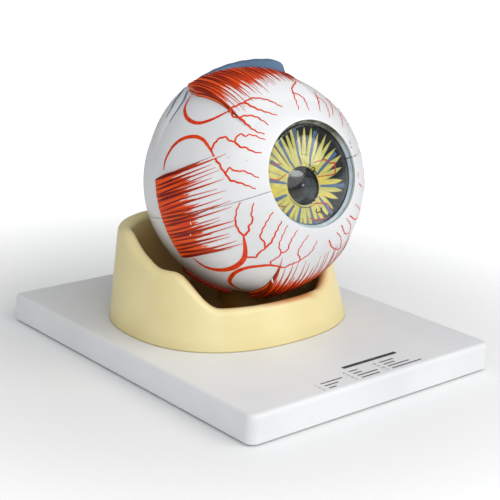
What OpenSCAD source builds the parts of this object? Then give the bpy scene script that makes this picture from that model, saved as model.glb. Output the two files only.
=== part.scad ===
// Anatomical model of an eye, about six times life size, lying in an orbit shaped stand on a board.
// The eyeball opens along a seam, and its inner parts lift out one after the other.
// Millimetres, +Z up. The origin is under the middle of the board, on the table.
// The board's front edge faces -Y. In the eye's own frame the eye looks along -Y.

/* [Board] */
// Width of the board, left to right
board_w = 204; // [190:1:260]
// Depth of the board, front to back
board_d = 254; // [200:1:320]
// Height of the board's top face above the table
board_top = 19; // [16:0.5:24]
// Radius of the board's upright corners
board_corner = 6; // [6:0.5:12]
// Radius of the board's rounded top edge
board_edge = 3; // [1:0.5:3]
// Height that the feet lift the board off the table
foot_lift = 1.5; // [1:0.1:3]
// Radius of a rubber foot
foot_r = 8; // [5:0.5:12]
// Depth of the recess that a foot is glued into
foot_recess = 1; // [0.5:0.1:2]
// Distance of a foot's centre from the board's edges
foot_inset = 20; // [14:1:30]

/* [Stand] */
// Stand's centre, left to right
stand_x = -3.2; // [-10:0.1:5]
// Stand's centre, front to back
stand_y = 12.5; // [5:0.1:20]
// Half the stand's width at its foot
stand_half_w = 81; // [78:0.5:88]
// Half the stand's depth at its foot
stand_half_d = 67.4; // [65:0.1:72]
// Squareness of the stand's oval, where 2 is an ellipse
stand_power = 2.33; // [2.1:0.01:2.8]
// Height of the rim's crest at the back left
rim_high_z = 82; // [78:0.5:84]
// Height of the rim's crest at the left shoulder
rim_shoulder_z = 66; // [62:0.5:70]
// Height of the rim's crest at the front
rim_front_z = 45; // [42:0.5:47]
// Height of the rim's crest at the right and the back right
rim_right_z = 58; // [54:0.5:60]
// Radius of the rounded rim
rim_r = 4.5; // [3.5:0.1:5]
// Inward lean of the wall per millimetre of height, on average
wall_lean = 0.178; // [0.15:0.001:0.19]
// How much more the right wall leans, and the left wall less
wall_lean_swing = 0.102; // [0.06:0.001:0.12]
// Thickness of the floor inside the stand
floor_t = 9; // [8:0.5:11]
// Radius between the inside wall and the floor
floor_fillet = 7; // [4:0.5:9]
// Radius of the pedestal that carries the eye
pedestal_r = 18; // [16:0.5:22]
// How far the pedestal's middle lies to the right of the eye's middle
pedestal_side = 3; // [0:0.5:6]
// How far the pedestal's middle lies behind the eye's middle
pedestal_back = 7; // [4:0.5:10]
// Height of the pedestal's edge above the table
pedestal_z = 45; // [43:0.5:48]

// Least gap between the eyeball and the inside wall
wall_gap = 3; // [2:0.5:4]

/* [Stand screws] */
// Radius of a screw's shank
screw_r = 2; // [1.5:0.1:2.5]
// Radius of a screw's head
screw_head_r = 4; // [3.5:0.1:5]
// Height of a screw's head
screw_head_t = 2.6; // [2:0.1:3]
// How far a screw reaches into the stand
screw_bite = 7; // [5:0.5:7.5]
// Distance of the two side screws from the stand's middle
screw_side = 46; // [40:1:48]
// Distance of the back screw from the stand's middle
screw_back = 42; // [36:1:44]
// Depth of the hole for the head in the board's underside
screw_sink = 5; // [4:0.5:8]

/* [Eye position] */
// Eye's centre, left to right
eye_x = 3; // [1:0.5:4]
// Eye's centre, front to back
eye_y = 0; // [-2:0.5:2]
// Height of the eye's centre above the table
eye_z = 111.5; // [110.5:0.5:115]
// Upward tilt of the gaze, in degrees
gaze_up = 17; // [10:0.5:20]
// Roll of the seam, in degrees
gaze_roll = 12; // [6:0.5:14]
// Turn of the gaze, in degrees
gaze_turn = 1.5; // [0:0.5:4]

/* [Sclera] */
// Outer radius of the eyeball
sclera_r = 71.5; // [70:0.5:72]
// Thickness of the white outer shell
sclera_wall = 5; // [4.5:0.1:5.5]
// Gap at the seam between the two halves
seam_gap = 0.3; // [0.2:0.05:0.6]
// Radius of the opening for the cornea
limbus_r = 33; // [32:0.1:34]
// Width of the ledge that the cornea sits on
cornea_ledge = 1.8; // [1.5:0.1:2]
// Depth of the ledge below the opening's edge
cornea_depth = 3.5; // [3:0.1:3.8]
// Radius of a locating pin in the seam
pin_r = 1.5; // [1:0.1:1.6]
// Length of a pin in each half
pin_half = 6; // [4:0.5:8]

/* [Muscles] */
// Thickness of the upper and lower straight muscles at their back ends
rectus_t = 5; // [3:0.1:6]
// Thickness of the side muscles at their back ends
side_rectus_t = 3.6; // [2:0.1:4.5]
// Half the width of the upper straight muscle
superior_half_w = 29; // [24:0.5:30]
// Where the upper straight muscle ends at the back left
superior_back_left = 2; // [-4:0.5:4]
// Where the upper straight muscle ends at the back right
superior_back_right = -33; // [-36:0.5:-25]
// Where the upper straight muscle thins out at the front
superior_tip = -57; // [-62:0.5:-52]
// Half the width of the lower straight muscle
inferior_half_w = 31; // [24:0.5:32]
// Where the lower straight muscle ends at the back
inferior_back = -2; // [-4:0.5:-1]
// Width of the corner cut off its back end, on the nose side
inferior_cut_w = 17; // [15:0.5:22]
// Length of that corner
inferior_cut_d = 18; // [17:0.5:24]
// Where the lower straight muscle thins out at the front
inferior_tip = -50; // [-54:0.5:-44]
// Height of a side muscle's upper edge over the seam, at its back end
side_top = 25; // [20:0.5:28]
// Depth of a side muscle's lower edge under the seam, at its back end
side_bottom = 27.5; // [20:0.5:29]
// How much a side muscle's upper edge climbs towards the front
side_flare = 6; // [0:0.5:7]
// Where a side muscle ends at the back
side_back = -0.5; // [-4:0.5:1]
// Where a side muscle thins out at the front
side_tip = -48; // [-52:0.5:-42]
// Width of the upper slanted muscle's tendon
tendon_w = 16; // [10:0.5:18]
// Thickness of the tendon over its middle
tendon_t = 5.8; // [4:0.1:6]
// Sideways shift that makes the tendon thicker on the right
tendon_shift = 7.4; // [4:0.1:8]
// Half the length of the lower slanted muscle
oblique_half = 16; // [12:0.5:17]
// Width of the lower slanted muscle
oblique_w = 13; // [10:0.5:14]
// Thickness of the lower slanted muscle
oblique_t = 3; // [2:0.1:3.5]

/* [Optic nerve] */
// Outer radius of the nerve's sheath
nerve_r = 11; // [9:0.5:11.5]
// Thickness of the sheath
sheath_wall = 3; // [2:0.1:4]
// Length of the sheath beyond the eyeball
sheath_len = 20; // [12:0.5:24]
// Length of the nerve beyond its sheath
core_len = 4; // [2:0.5:8]
// Downward slant of the nerve, in degrees
nerve_down = 12; // [11:0.5:14]
// Slant of the nerve to the nose side, in degrees
nerve_nasal = 12; // [8:0.5:14]

/* [Inner parts] */
// Clearance between parts that lift apart
gap = 0.4; // [0.3:0.05:0.5]
// Clearance of a locating pin in its hole
pin_gap = 0.1; // [0.05:0.01:0.15]
// Thickness of the choroid
choroid_wall = 2.6; // [2:0.1:3]
// Thickness of the retina
retina_wall = 1.4; // [1:0.1:1.6]
// Where the retina ends, in front of the eye's middle
retina_edge = 24; // [16:0.5:30]
// Radius of the cornea's dome
cornea_r = 50; // [45:0.5:55]
// Thickness of the cornea
cornea_wall = 1.8; // [1.4:0.1:2.2]
// Depth of the iris below the opening's edge
iris_depth = 9.5; // [9:0.1:10.5]
// Thickness of the iris
iris_t = 2; // [1.6:0.1:2.2]
// Radius of the pupil
pupil_r = 12; // [9:0.5:13]
// How far the pupil and the lens lie below the opening's middle
pupil_drop = 6; // [4:0.5:6]
// How far the pupil lies to the side of the opening's middle
pupil_side = 3; // [0:0.5:4]
// Radius of the flat middle of the iris, inside its shallow cone
iris_flat_r = 13; // [12:0.5:18]
// Width of the flat edge round that cone
iris_edge = 0.5; // [0.3:0.1:1]
// Width of the ledge that carries the iris
iris_lip = 1.8; // [1.6:0.1:2.4]
// Thickness of that ledge
iris_ledge_t = 4.4; // [4:0.1:5]
// Least wall of the ciliary ring, below the lens
ciliary_wall = 1.4; // [1.2:0.1:3]
// Thickness of the lens
lens_t = 18.2; // [16:0.1:20]
// Radius of the lens's front face
lens_front_r = 50; // [44:0.5:60]
// Radius of the lens's back face
lens_back_r = 30; // [28:0.5:36]
// Gap between the iris and the lens
lens_gap = 1.7; // [1.4:0.1:2]

/* [Hidden] */
$fn = 96;

// Larger than any part, for cuts that run right through
far = 200;

// Board and screws
hole_gap = 0.3;
press_gap = 0.05;
board_t = board_top - foot_lift;
screw_head_z = foot_lift + screw_sink - screw_head_t;
screw_spots = [[stand_x - screw_side, stand_y], [stand_x + screw_side, stand_y],
    [stand_x, stand_y + screw_back]];

// Stand: the rim's height is blended between these angles, counted from +X
wall_steps = 72;
lean_most_at = -30;
back_rise = [75, 112];
shoulder_fall = [160, 194];
front_fall = [202, 232];
right_rise = [290, 320];
floor_z = board_top + floor_t;
pedestal_x = eye_x + pedestal_side;
pedestal_y = eye_y + pedestal_back;
pedestal_gap = 0.3;

// Nested radii of the eye
sclera_in = sclera_r - sclera_wall;
choroid_r = sclera_in - gap;
choroid_in = choroid_r - choroid_wall;
lining_gap = 0.1;
retina_r = choroid_in - lining_gap;
retina_in = retina_r - retina_wall;
vitreous_r = retina_in - gap;

// Distances along the gaze, counted from the eye's centre
limbus_f = sqrt(sclera_r * sclera_r - limbus_r * limbus_r);
ledge_f = limbus_f - cornea_depth;
collar_r = limbus_r - cornea_ledge;
iris_f = limbus_f - iris_depth;
iris_back_f = iris_f - iris_t;
iris_r = collar_r - gap;
iris_ledge_r = collar_r - iris_lip;
iris_ledge_f = iris_back_f - gap / 2;
iris_rim_f = sqrt(sclera_in * sclera_in - collar_r * collar_r) - 1.5 * gap;
vitreous_f = iris_ledge_f - iris_ledge_t - gap;
ciliary_r = iris_ledge_r - gap;
lens_r = ciliary_r - ciliary_wall - 1.5 * gap - pupil_drop;
lens_f = iris_back_f - lens_gap;
lens_front_centre = lens_f - lens_front_r;
lens_back_centre = lens_f - lens_t + lens_back_r;
cornea_f = ledge_f + gap / 2;
cornea_edge_r = limbus_r - gap;
cornea_centre = cornea_f - sqrt(cornea_r * cornea_r - cornea_edge_r * cornea_edge_r);

// Locating pins, at these angles round the seam from the front
pin_angles = [58, 150, 215, 302];
pin_ring_r = sclera_r - sclera_wall / 2;

// Muscles' corners, back from their back ends and from their tips
rectus_corner = 14;
rectus_tip = 15;
tip_trim = 3;

// Upper muscle's slanting back end, and the tendon just behind it
superior_left_x = -25;
back_slope = (superior_back_right - superior_back_left) / (superior_half_w - superior_left_x);
tendon_left = -24;
tendon_right = 27;
tendon_gap = 0.6;
oblique_turn = [0, 136, 163];

// ---------- helpers ----------

function ease(t) = let (u = min(1, max(0, t))) u * u * (3 - 2 * u);
function rise(a, span) = ease((a - span[0]) / (span[1] - span[0]));
function bow(c) = sign(c) * pow(abs(c), 2 / stand_power);
function superior_back_at(x) = superior_back_left + back_slope * (x - superior_left_x);

// Puts its children in the eye's own frame: seam across, gaze along -Y
module in_eye() {
    translate([eye_x, eye_y, eye_z]) rotate([-gaze_up, -gaze_roll, -gaze_turn]) children();
}

// Turns +Z to the gaze, so that heights count forward from the eye's centre
module forward() {
    rotate([90, 0, 0]) children();
}

// Everything over the seam, or everything under it
module over_seam() {
    translate([-far / 2, -far / 2, seam_gap / 2]) cube([far, far, far]);
}

module under_seam() {
    mirror([0, 0, 1]) over_seam();
}

// A ball whose poles lie on the line of the gaze
module ball(r) {
    forward() sphere(r = r);
}

module shell(outer, inner) {
    difference() {
        ball(outer);
        ball(inner);
    }
}

// A relief on the eyeball: an outline seen from outside, under a shifted sphere.
// It is thick at the back end and runs out to nothing at the tip.
module relief(back, tip, thick) {
    shift = thick * sclera_r / (back - tip);
    top_r = sclera_r - shift * tip / sclera_r;
    difference() {
        intersection() {
            translate([0, shift, 0]) ball(top_r);
            linear_extrude(height = far) children();
        }
        ball(sclera_r);
    }
}

// ---------- board ----------

// Section of the board's edge: upright side, rounded top
module edge_section() {
    square([board_corner, board_t - board_edge]);
    square([board_corner - board_edge, board_t]);
    translate([board_corner - board_edge, board_t - board_edge]) intersection() {
        circle(r = board_edge);
        square(board_edge);
    }
}

module board_blank() {
    inner_w = board_w - 2 * board_corner;
    inner_d = board_d - 2 * board_corner;
    translate([-inner_w / 2, -inner_d / 2, 0]) cube([inner_w, inner_d, board_t]);
    for (side = [0, 1]) {
        mirror([0, side, 0]) translate([-inner_w / 2, inner_d / 2, 0])
            rotate([90, 0, 90]) linear_extrude(height = inner_w) edge_section();
        mirror([side, 0, 0]) translate([inner_w / 2, inner_d / 2, 0])
            rotate([90, 0, 0]) linear_extrude(height = inner_d) edge_section();
        for (end = [0, 1])
            mirror([side, 0, 0]) mirror([0, end, 0]) translate([inner_w / 2, inner_d / 2, 0])
                rotate_extrude() edge_section();
    }
}

module foot_spots() {
    for (sx = [-1, 1], sy = [-1, 1])
        translate([sx * (board_w / 2 - foot_inset), sy * (board_d / 2 - foot_inset), 0]) children();
}

module baseboard() {
    color([0.86, 0.87, 0.89]) difference() {
        translate([0, 0, foot_lift]) board_blank();
        foot_spots() translate([0, 0, foot_lift - 1]) cylinder(r = foot_r + press_gap, h = foot_recess + 1);
        for (p = screw_spots) translate([p[0], p[1], 0]) {
            cylinder(r = screw_r + hole_gap, h = board_top + 1);
            cylinder(r = screw_head_r + hole_gap, h = foot_lift + screw_sink);
        }
    }
}

module board_feet() {
    color([0.12, 0.12, 0.13]) foot_spots() {
        translate([0, 0, foot_lift / 2]) cylinder(r = foot_r, h = foot_lift / 2 + foot_recess);
        cylinder(r1 = foot_r - foot_lift / 2, r2 = foot_r, h = foot_lift / 2);
    }
}

// ---------- stand ----------

// Height of the rim's crest, and the inward lean of the wall, at an angle from +X
function crest(a) = rim_right_z
    + (rim_high_z - rim_right_z) * rise(a, back_rise)
    - (rim_high_z - rim_shoulder_z) * rise(a, shoulder_fall)
    - (rim_shoulder_z - rim_front_z) * rise(a, front_fall)
    + (rim_right_z - rim_front_z) * rise(a, right_rise);
function lean(a) = wall_lean + wall_lean_swing * cos(a - lean_most_at);

// A point of the stand's wall, by its distance in from the foot's oval
function wall_point(a, inset, z) = [
    stand_x + (stand_half_w - inset) * bow(cos(a)),
    stand_y + (stand_half_d - inset) * bow(sin(a)),
    z];

// Section of the wall at an angle: up the outside, over the rim, down the inside, on to the floor
function wall_section(a) = let (
    rim_z = crest(a) - rim_r,
    rim_in = lean(a) * (rim_z - board_top) + rim_r,
    foot_in = rim_in + rim_r + 1,
    fillet_z = floor_z + floor_fillet)
    concat(
        [for (s = [0 : 0.25 : 0.75]) let (z = board_top + s * (rim_z - board_top))
            wall_point(a, lean(a) * (z - board_top), z)],
        [for (t = [180 : -22.5 : 0]) wall_point(a, rim_in + rim_r * cos(t), rim_z + rim_r * sin(t))],
        [wall_point(a, (rim_in + rim_r + foot_in) / 2, (rim_z + fillet_z) / 2)],
        [for (t = [0 : 22.5 : 90])
            wall_point(a, foot_in + floor_fillet * (1 - cos(t)), fillet_z - floor_fillet * sin(t))],
        [[pedestal_x + (pedestal_r - 2) * cos(a), pedestal_y + (pedestal_r - 2) * sin(a), floor_z]]);

module stand_bowl() {
    rows = [for (j = [0 : wall_steps - 1]) wall_section(j * 360 / wall_steps)];
    n = len(rows[0]);
    function at(j, i) = (j % wall_steps) * n + i;
    polyhedron(
        points = [for (row = rows) each row],
        faces = concat(
            [for (j = [0 : wall_steps - 1], i = [0 : n - 2]) [at(j, i), at(j, i + 1), at(j + 1, i + 1)]],
            [for (j = [0 : wall_steps - 1], i = [0 : n - 2]) [at(j, i), at(j + 1, i + 1), at(j + 1, i)]],
            [[for (j = [0 : wall_steps - 1]) at(j, 0)]],
            [[for (j = [wall_steps - 1 : -1 : 0]) at(j, n - 1)]]),
        convexity = 6);
}

module orbit_stand() {
    color([0.93, 0.89, 0.68]) difference() {
        union() {
            difference() {
                stand_bowl();
                translate([eye_x, eye_y, eye_z]) sphere(r = sclera_r + wall_gap);
            }
            translate([pedestal_x, pedestal_y, floor_z - 1])
                cylinder(r = pedestal_r, h = pedestal_z - floor_z + 1);
        }
        translate([eye_x, eye_y, eye_z]) sphere(r = sclera_r + pedestal_gap);
        for (p = screw_spots) translate([p[0], p[1], board_top - 1])
            cylinder(r = screw_r + press_gap, h = screw_bite + 1.5);
    }
}

module stand_screws() {
    color([0.62, 0.63, 0.65]) for (p = screw_spots) translate([p[0], p[1], screw_head_z]) difference() {
        union() {
            cylinder(r = screw_head_r, h = screw_head_t);
            cylinder(r = screw_r, h = board_top + screw_bite - screw_head_z);
        }
        for (turn = [0, 90]) rotate([0, 0, turn]) translate([-screw_head_r * 0.6, -0.5, -1])
            cube([screw_head_r * 1.2, 1, 2.2]);
    }
}

// ---------- sclera ----------

module sclera_whole() {
    difference() {
        shell(sclera_r, sclera_in);
        forward() cylinder(r = collar_r, h = far / 2);
        forward() translate([0, 0, ledge_f]) cylinder(r = limbus_r, h = far / 2);
    }
}

module pin_spots() {
    for (a = pin_angles) rotate([0, 0, a - 90]) translate([pin_ring_r, 0, 0]) children();
}

module sclera_lower() {
    color([0.93, 0.93, 0.94]) in_eye() difference() {
        intersection() {
            sclera_whole();
            under_seam();
        }
        pin_spots() translate([0, 0, -pin_half]) cylinder(r = pin_r + press_gap, h = pin_half + 1);
    }
}

module sclera_upper() {
    color([0.94, 0.94, 0.95]) in_eye() difference() {
        intersection() {
            sclera_whole();
            over_seam();
        }
        pin_spots() translate([0, 0, -1]) cylinder(r = pin_r + pin_gap, h = pin_half + 1 + gap);
    }
}

module locating_pins() {
    color([0.80, 0.67, 0.36]) in_eye() pin_spots() translate([0, 0, -pin_half])
        cylinder(r = pin_r, h = 2 * pin_half);
}

// ---------- muscles ----------

module superior_rectus() {
    w = superior_half_w;
    color([0.83, 0.27, 0.13]) in_eye() relief(superior_back_left, superior_tip, rectus_t)
        polygon([[superior_left_x, superior_back_left], [-w, superior_back_left - rectus_corner],
            [-w, superior_tip + rectus_tip], [-w + tip_trim, superior_tip - tip_trim],
            [w - tip_trim, superior_tip - tip_trim], [w, superior_tip + rectus_tip],
            [w, superior_back_right]]);
}

module superior_oblique_tendon() {
    color([0.42, 0.55, 0.70]) in_eye() difference() {
        intersection() {
            translate([tendon_shift, 0, 0]) ball(sclera_r + tendon_t);
            linear_extrude(height = far) polygon([
                [tendon_left, superior_back_at(tendon_left) + tendon_gap],
                [tendon_right, superior_back_at(tendon_right) + tendon_gap],
                [tendon_right + 3, superior_back_at(tendon_right) + tendon_w],
                [tendon_left + 6, superior_back_at(tendon_left) + tendon_w]]);
        }
        ball(sclera_r);
    }
}

module inferior_rectus() {
    w = inferior_half_w;
    color([0.83, 0.27, 0.13]) in_eye() mirror([0, 0, 1]) relief(inferior_back, inferior_tip, rectus_t)
        polygon([[-w, inferior_back], [-w, inferior_tip + rectus_tip],
            [-w + tip_trim, inferior_tip - tip_trim], [w - tip_trim, inferior_tip - tip_trim],
            [w, inferior_tip + rectus_tip],
            [w, inferior_back - inferior_cut_d], [w - inferior_cut_w, inferior_back]]);
}

module inferior_oblique() {
    h = oblique_half;
    color([0.80, 0.26, 0.13]) in_eye() difference() {
        intersection() {
            ball(sclera_r + oblique_t);
            rotate(oblique_turn) linear_extrude(height = far)
                polygon([[-h, -2], [h, 3], [h, 3 - oblique_w], [-h, -2 - oblique_w]]);
        }
        ball(sclera_r);
    }
}

// A side muscle, seen from its own side: x is up from the seam and y is towards the back
module side_rectus() {
    rotate([0, -90, 0]) relief(side_back, side_tip, side_rectus_t)
        polygon([[side_top, side_back], [side_top + side_flare, side_tip],
            [side_top + side_flare, side_tip - tip_trim], [-side_bottom, side_tip - tip_trim],
            [-side_bottom, side_back]]);
}

module lateral_rectus_lower() {
    color([0.84, 0.28, 0.13]) in_eye() intersection() {
        side_rectus();
        under_seam();
    }
}

module lateral_rectus_upper() {
    color([0.84, 0.28, 0.13]) in_eye() intersection() {
        side_rectus();
        over_seam();
    }
}

module medial_rectus_lower() {
    color([0.84, 0.28, 0.13]) in_eye() intersection() {
        mirror([1, 0, 0]) side_rectus();
        under_seam();
    }
}

module medial_rectus_upper() {
    color([0.84, 0.28, 0.13]) in_eye() intersection() {
        mirror([1, 0, 0]) side_rectus();
        over_seam();
    }
}

// ---------- optic nerve ----------

// Turns +Z to the nerve's direction at the back of the eye
module along_nerve() {
    rotate([0, 0, -nerve_nasal]) rotate([-nerve_down, 0, 0]) rotate([-90, 0, 0]) children();
}

module optic_nerve_sheath() {
    color([0.88, 0.84, 0.74]) in_eye() difference() {
        along_nerve() cylinder(r = nerve_r, h = sclera_r + sheath_len);
        along_nerve() cylinder(r = nerve_r - sheath_wall, h = far);
        ball(sclera_r);
    }
}

module optic_nerve() {
    color([0.92, 0.80, 0.52]) in_eye() difference() {
        along_nerve() cylinder(r = nerve_r - sheath_wall - press_gap, h = sclera_r + sheath_len + core_len);
        ball(sclera_r);
    }
}

// ---------- inner parts ----------

module choroid_whole() {
    difference() {
        union() {
            shell(choroid_r, choroid_in);
            intersection() {
                ball(choroid_in + choroid_wall / 2);
                forward() translate([0, 0, iris_ledge_f - iris_ledge_t])
                    cylinder(r = far / 2, h = iris_ledge_t);
            }
        }
        forward() translate([0, 0, iris_ledge_f]) cylinder(r = collar_r, h = far / 2);
        forward() cylinder(r = iris_ledge_r, h = far / 2);
    }
}

module choroid_lower() {
    color([0.36, 0.20, 0.15]) in_eye() intersection() {
        choroid_whole();
        under_seam();
    }
}

module choroid_upper() {
    color([0.36, 0.20, 0.15]) in_eye() intersection() {
        choroid_whole();
        over_seam();
    }
}

module retina_whole() {
    difference() {
        shell(retina_r, retina_in);
        forward() translate([0, 0, retina_edge]) cylinder(r = far / 2, h = far / 2);
    }
}

module retina_lower() {
    color([0.90, 0.52, 0.30]) in_eye() intersection() {
        retina_whole();
        under_seam();
    }
}

module retina_upper() {
    color([0.90, 0.52, 0.30]) in_eye() intersection() {
        retina_whole();
        over_seam();
    }
}

// Space of the lens, larger by a clearance, open to the front when front is false
module lens_space(extra, front) {
    forward() translate([0, -pupil_drop, 0]) intersection() {
        cylinder(r = lens_r + extra, h = far / 2);
        translate([0, 0, lens_back_centre]) sphere(r = lens_back_r + extra);
        if (front) translate([0, 0, lens_front_centre]) sphere(r = lens_front_r + extra);
    }
}

module vitreous_body() {
    color([0.85, 0.90, 0.93, 0.5]) in_eye() difference() {
        ball(vitreous_r);
        forward() translate([0, 0, vitreous_f]) cylinder(r = far / 2, h = far / 2);
        lens_space(gap, false);
    }
}

module lens() {
    color([0.85, 0.88, 0.88, 0.6]) in_eye() lens_space(0, true);
}

module iris() {
    dish = iris_rim_f - iris_f;
    dish_r = iris_r - iris_edge;
    past = 1.5;
    color([0.80, 0.74, 0.30]) in_eye() forward() difference() {
        translate([0, 0, iris_back_f]) cylinder(r = iris_r, h = iris_rim_f - iris_back_f);
        translate([0, 0, iris_f])
            cylinder(r1 = iris_flat_r, r2 = iris_flat_r + past * (dish_r - iris_flat_r), h = past * dish);
        translate([-pupil_side, -pupil_drop, iris_back_f - 1]) cylinder(r = pupil_r, h = far / 2);
    }
}

module ciliary_body() {
    color([0.45, 0.22, 0.17]) in_eye() forward() translate([0, 0, vitreous_f + gap]) difference() {
        cylinder(r = ciliary_r, h = iris_back_f - vitreous_f - gap);
        translate([0, -pupil_drop, -1]) cylinder(r = lens_r + 1.5 * gap, h = far / 2);
    }
}

module cornea() {
    color([0.85, 0.92, 0.95, 0.3]) in_eye() forward() intersection() {
        translate([0, 0, cornea_centre]) shell(cornea_r, cornea_r - cornea_wall);
        translate([0, 0, cornea_f]) cylinder(r = cornea_edge_r, h = far / 2);
    }
}

baseboard();
board_feet();
orbit_stand();
stand_screws();
sclera_lower();
inferior_rectus();
inferior_oblique();
lateral_rectus_lower();
medial_rectus_lower();
optic_nerve_sheath();
optic_nerve();
locating_pins();
sclera_upper();
superior_rectus();
superior_oblique_tendon();
lateral_rectus_upper();
medial_rectus_upper();
choroid_lower();
retina_lower();
choroid_upper();
retina_upper();
vitreous_body();
lens();
iris();
ciliary_body();
cornea();
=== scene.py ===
# %% [markdown]
# # A take-apart model of the eye
#
# The real object is a teaching model, about six times life size. A white ball with painted vessels and
# raised muscles lies in a cream stand on a grey board. It opens along a seam, and a clear cornea sits in
# front of a painted iris. The solids come from the CAD frame; this script gives every surface its look.
# It first loads the frame.

# %% Load the frame
import math
import random

import bmesh
import bpy
from mathutils import Matrix, Vector


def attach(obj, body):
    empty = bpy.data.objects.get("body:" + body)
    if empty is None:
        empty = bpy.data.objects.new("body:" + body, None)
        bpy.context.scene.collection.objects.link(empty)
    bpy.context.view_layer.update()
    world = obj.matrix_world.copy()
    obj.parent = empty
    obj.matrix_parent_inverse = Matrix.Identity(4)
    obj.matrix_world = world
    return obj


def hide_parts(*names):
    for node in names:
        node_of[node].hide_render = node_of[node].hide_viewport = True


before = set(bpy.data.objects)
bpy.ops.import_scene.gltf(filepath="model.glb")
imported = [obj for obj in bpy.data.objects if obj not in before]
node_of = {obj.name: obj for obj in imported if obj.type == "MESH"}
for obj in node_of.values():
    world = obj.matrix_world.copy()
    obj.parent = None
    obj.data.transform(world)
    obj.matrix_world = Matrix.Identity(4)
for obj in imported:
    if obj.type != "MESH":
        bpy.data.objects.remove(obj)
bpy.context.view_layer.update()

# %% [markdown]
# ## The camera
#
# The camera sees the object as the photograph shows it. Its place and turn were fitted to the board's
# corners and the ball's outline, so a pixel of the photograph can be followed back along its ray to the
# ball or to the iris. The painted lines are placed that way later on.

# %% Camera
MM = 0.001
PHOTO_SIZE = 500
FOCAL_PIXELS = 1252.83
AZIMUTH, ELEVATION, ROLL = (math.radians(angle) for angle in (-41.22, 16.562, 2.448))
CAMERA_PLACE = Vector((-519.771, -595.988, 300.788))

to_camera = Vector((math.sin(AZIMUTH) * math.cos(ELEVATION), -math.cos(AZIMUTH) * math.cos(ELEVATION),
                    math.sin(ELEVATION)))
level = Vector((math.cos(AZIMUTH), math.sin(AZIMUTH), 0))
rise = to_camera.cross(level)
camera_right = level * math.cos(ROLL) + rise * math.sin(ROLL)
camera_up = rise * math.cos(ROLL) - level * math.sin(ROLL)

camera = bpy.data.objects.new("camera", bpy.data.cameras.new("camera"))
bpy.context.scene.collection.objects.link(camera)
camera.matrix_world = (Matrix.Translation(CAMERA_PLACE * MM)
                       @ Matrix((camera_right, camera_up, to_camera)).transposed().to_4x4())
camera.data.sensor_width = 36
camera.data.lens = 36 * FOCAL_PIXELS / PHOTO_SIZE
camera.data.clip_start, camera.data.clip_end = 0.05, 30
bpy.context.scene.camera = camera


def pixel_ray(pixel):
    """Direction from the camera through a pixel of the photograph."""
    across = (pixel[0] - PHOTO_SIZE / 2) / FOCAL_PIXELS
    down = (pixel[1] - PHOTO_SIZE / 2) / FOCAL_PIXELS
    return (camera_right * across - camera_up * down - to_camera).normalized()


print("lens in mm:", round(camera.data.lens, 1))

# %% [markdown]
# ## Frames of the eye
#
# The eye lies tilted in its stand, so its pieces are modelled in its own frame and turned into place at
# the end. In that frame the seam lies across and the eye looks along -Y. For what is turned on a lathe,
# such as the shell, a second frame has its Z axis along the gaze. Everything is in millimetres until the
# last step, which turns the mesh into metres while the object stays at the origin.

# %% Frames
EYE_CENTRE = Vector((3, 0, 111.5))
GAZE_UP, GAZE_ROLL, GAZE_TURN = 17, 12, 1.5
SCLERA_R = 71.5
LIMBUS_R = 33
LIMBUS_F = math.sqrt(SCLERA_R**2 - LIMBUS_R**2)
BOARD_TOP = 19

TO_METRES = Matrix.Scale(MM, 4)
EYE = TO_METRES @ Matrix.Translation(EYE_CENTRE) @ (
    Matrix.Rotation(math.radians(-GAZE_TURN), 4, "Z")
    @ Matrix.Rotation(math.radians(-GAZE_ROLL), 4, "Y")
    @ Matrix.Rotation(math.radians(-GAZE_UP), 4, "X"))
GAZE = EYE @ Matrix.Rotation(math.radians(90), 4, "X")
FROM_EYE = EYE.inverted()
FROM_GAZE = GAZE.inverted()


def turned(angle):
    """Cosine and sine of an angle in degrees."""
    return math.cos(math.radians(angle)), math.sin(math.radians(angle))


def on_ball(pixel, radius=SCLERA_R):
    """Where a pixel's ray meets a ball round the eye's centre, in the eye's frame."""
    ray = pixel_ray(pixel)
    to_centre = EYE_CENTRE - CAMERA_PLACE
    middle = ray.dot(to_centre)
    off = to_centre.length_squared - middle**2
    near = middle - math.sqrt(max(radius**2 - off, 0))
    return FROM_EYE @ ((CAMERA_PLACE + ray * near) * MM)


def on_disc(pixel, forward):
    """Where a pixel's ray meets the plane square to the gaze, in the lathe frame."""
    start = FROM_GAZE @ (CAMERA_PLACE * MM)
    ahead = FROM_GAZE @ ((CAMERA_PLACE + pixel_ray(pixel) * 100) * MM) - start
    return start + ahead * ((forward - start.z) / ahead.z)


print("opening for the cornea lies", round(LIMBUS_F, 2), "mm before the eye's centre")

# %% [markdown]
# ## Floor and light
#
# The photograph has a white ground, soft light from above on the camera's right, and a gentle shadow. One
# soft lamp from the right gives the light its side, one near the camera fills the front and mirrors as a
# pale veil in the cornea, and a pale sky fills the shade. The ground's own material glows for the camera
# away from the object, so it reads white while the lamps stay at a level at which a colour renders as written.

# %% Piece and light helpers
def srgb(red, green, blue):
    """A colour as a screen shows it, 0 to 255, turned into the linear light that shaders use."""
    parts = [channel / 255 for channel in (red, green, blue)]
    return tuple(part / 12.92 if part <= 0.04045 else ((part + 0.055) / 1.055) ** 2.4 for part in parts) + (1,)


def make_object(name, bm, matrix, smooth_angle=40):
    """Turns a bmesh into an object at the origin, smooth except over sharp edges."""
    bm.transform(matrix)
    mesh = bpy.data.meshes.new(name)
    bm.to_mesh(mesh)
    bm.free()
    mesh.shade_smooth()
    mesh.set_sharp_from_angle(angle=math.radians(smooth_angle))
    made = bpy.data.objects.new(name, mesh)
    bpy.context.scene.collection.objects.link(made)
    return made


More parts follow.
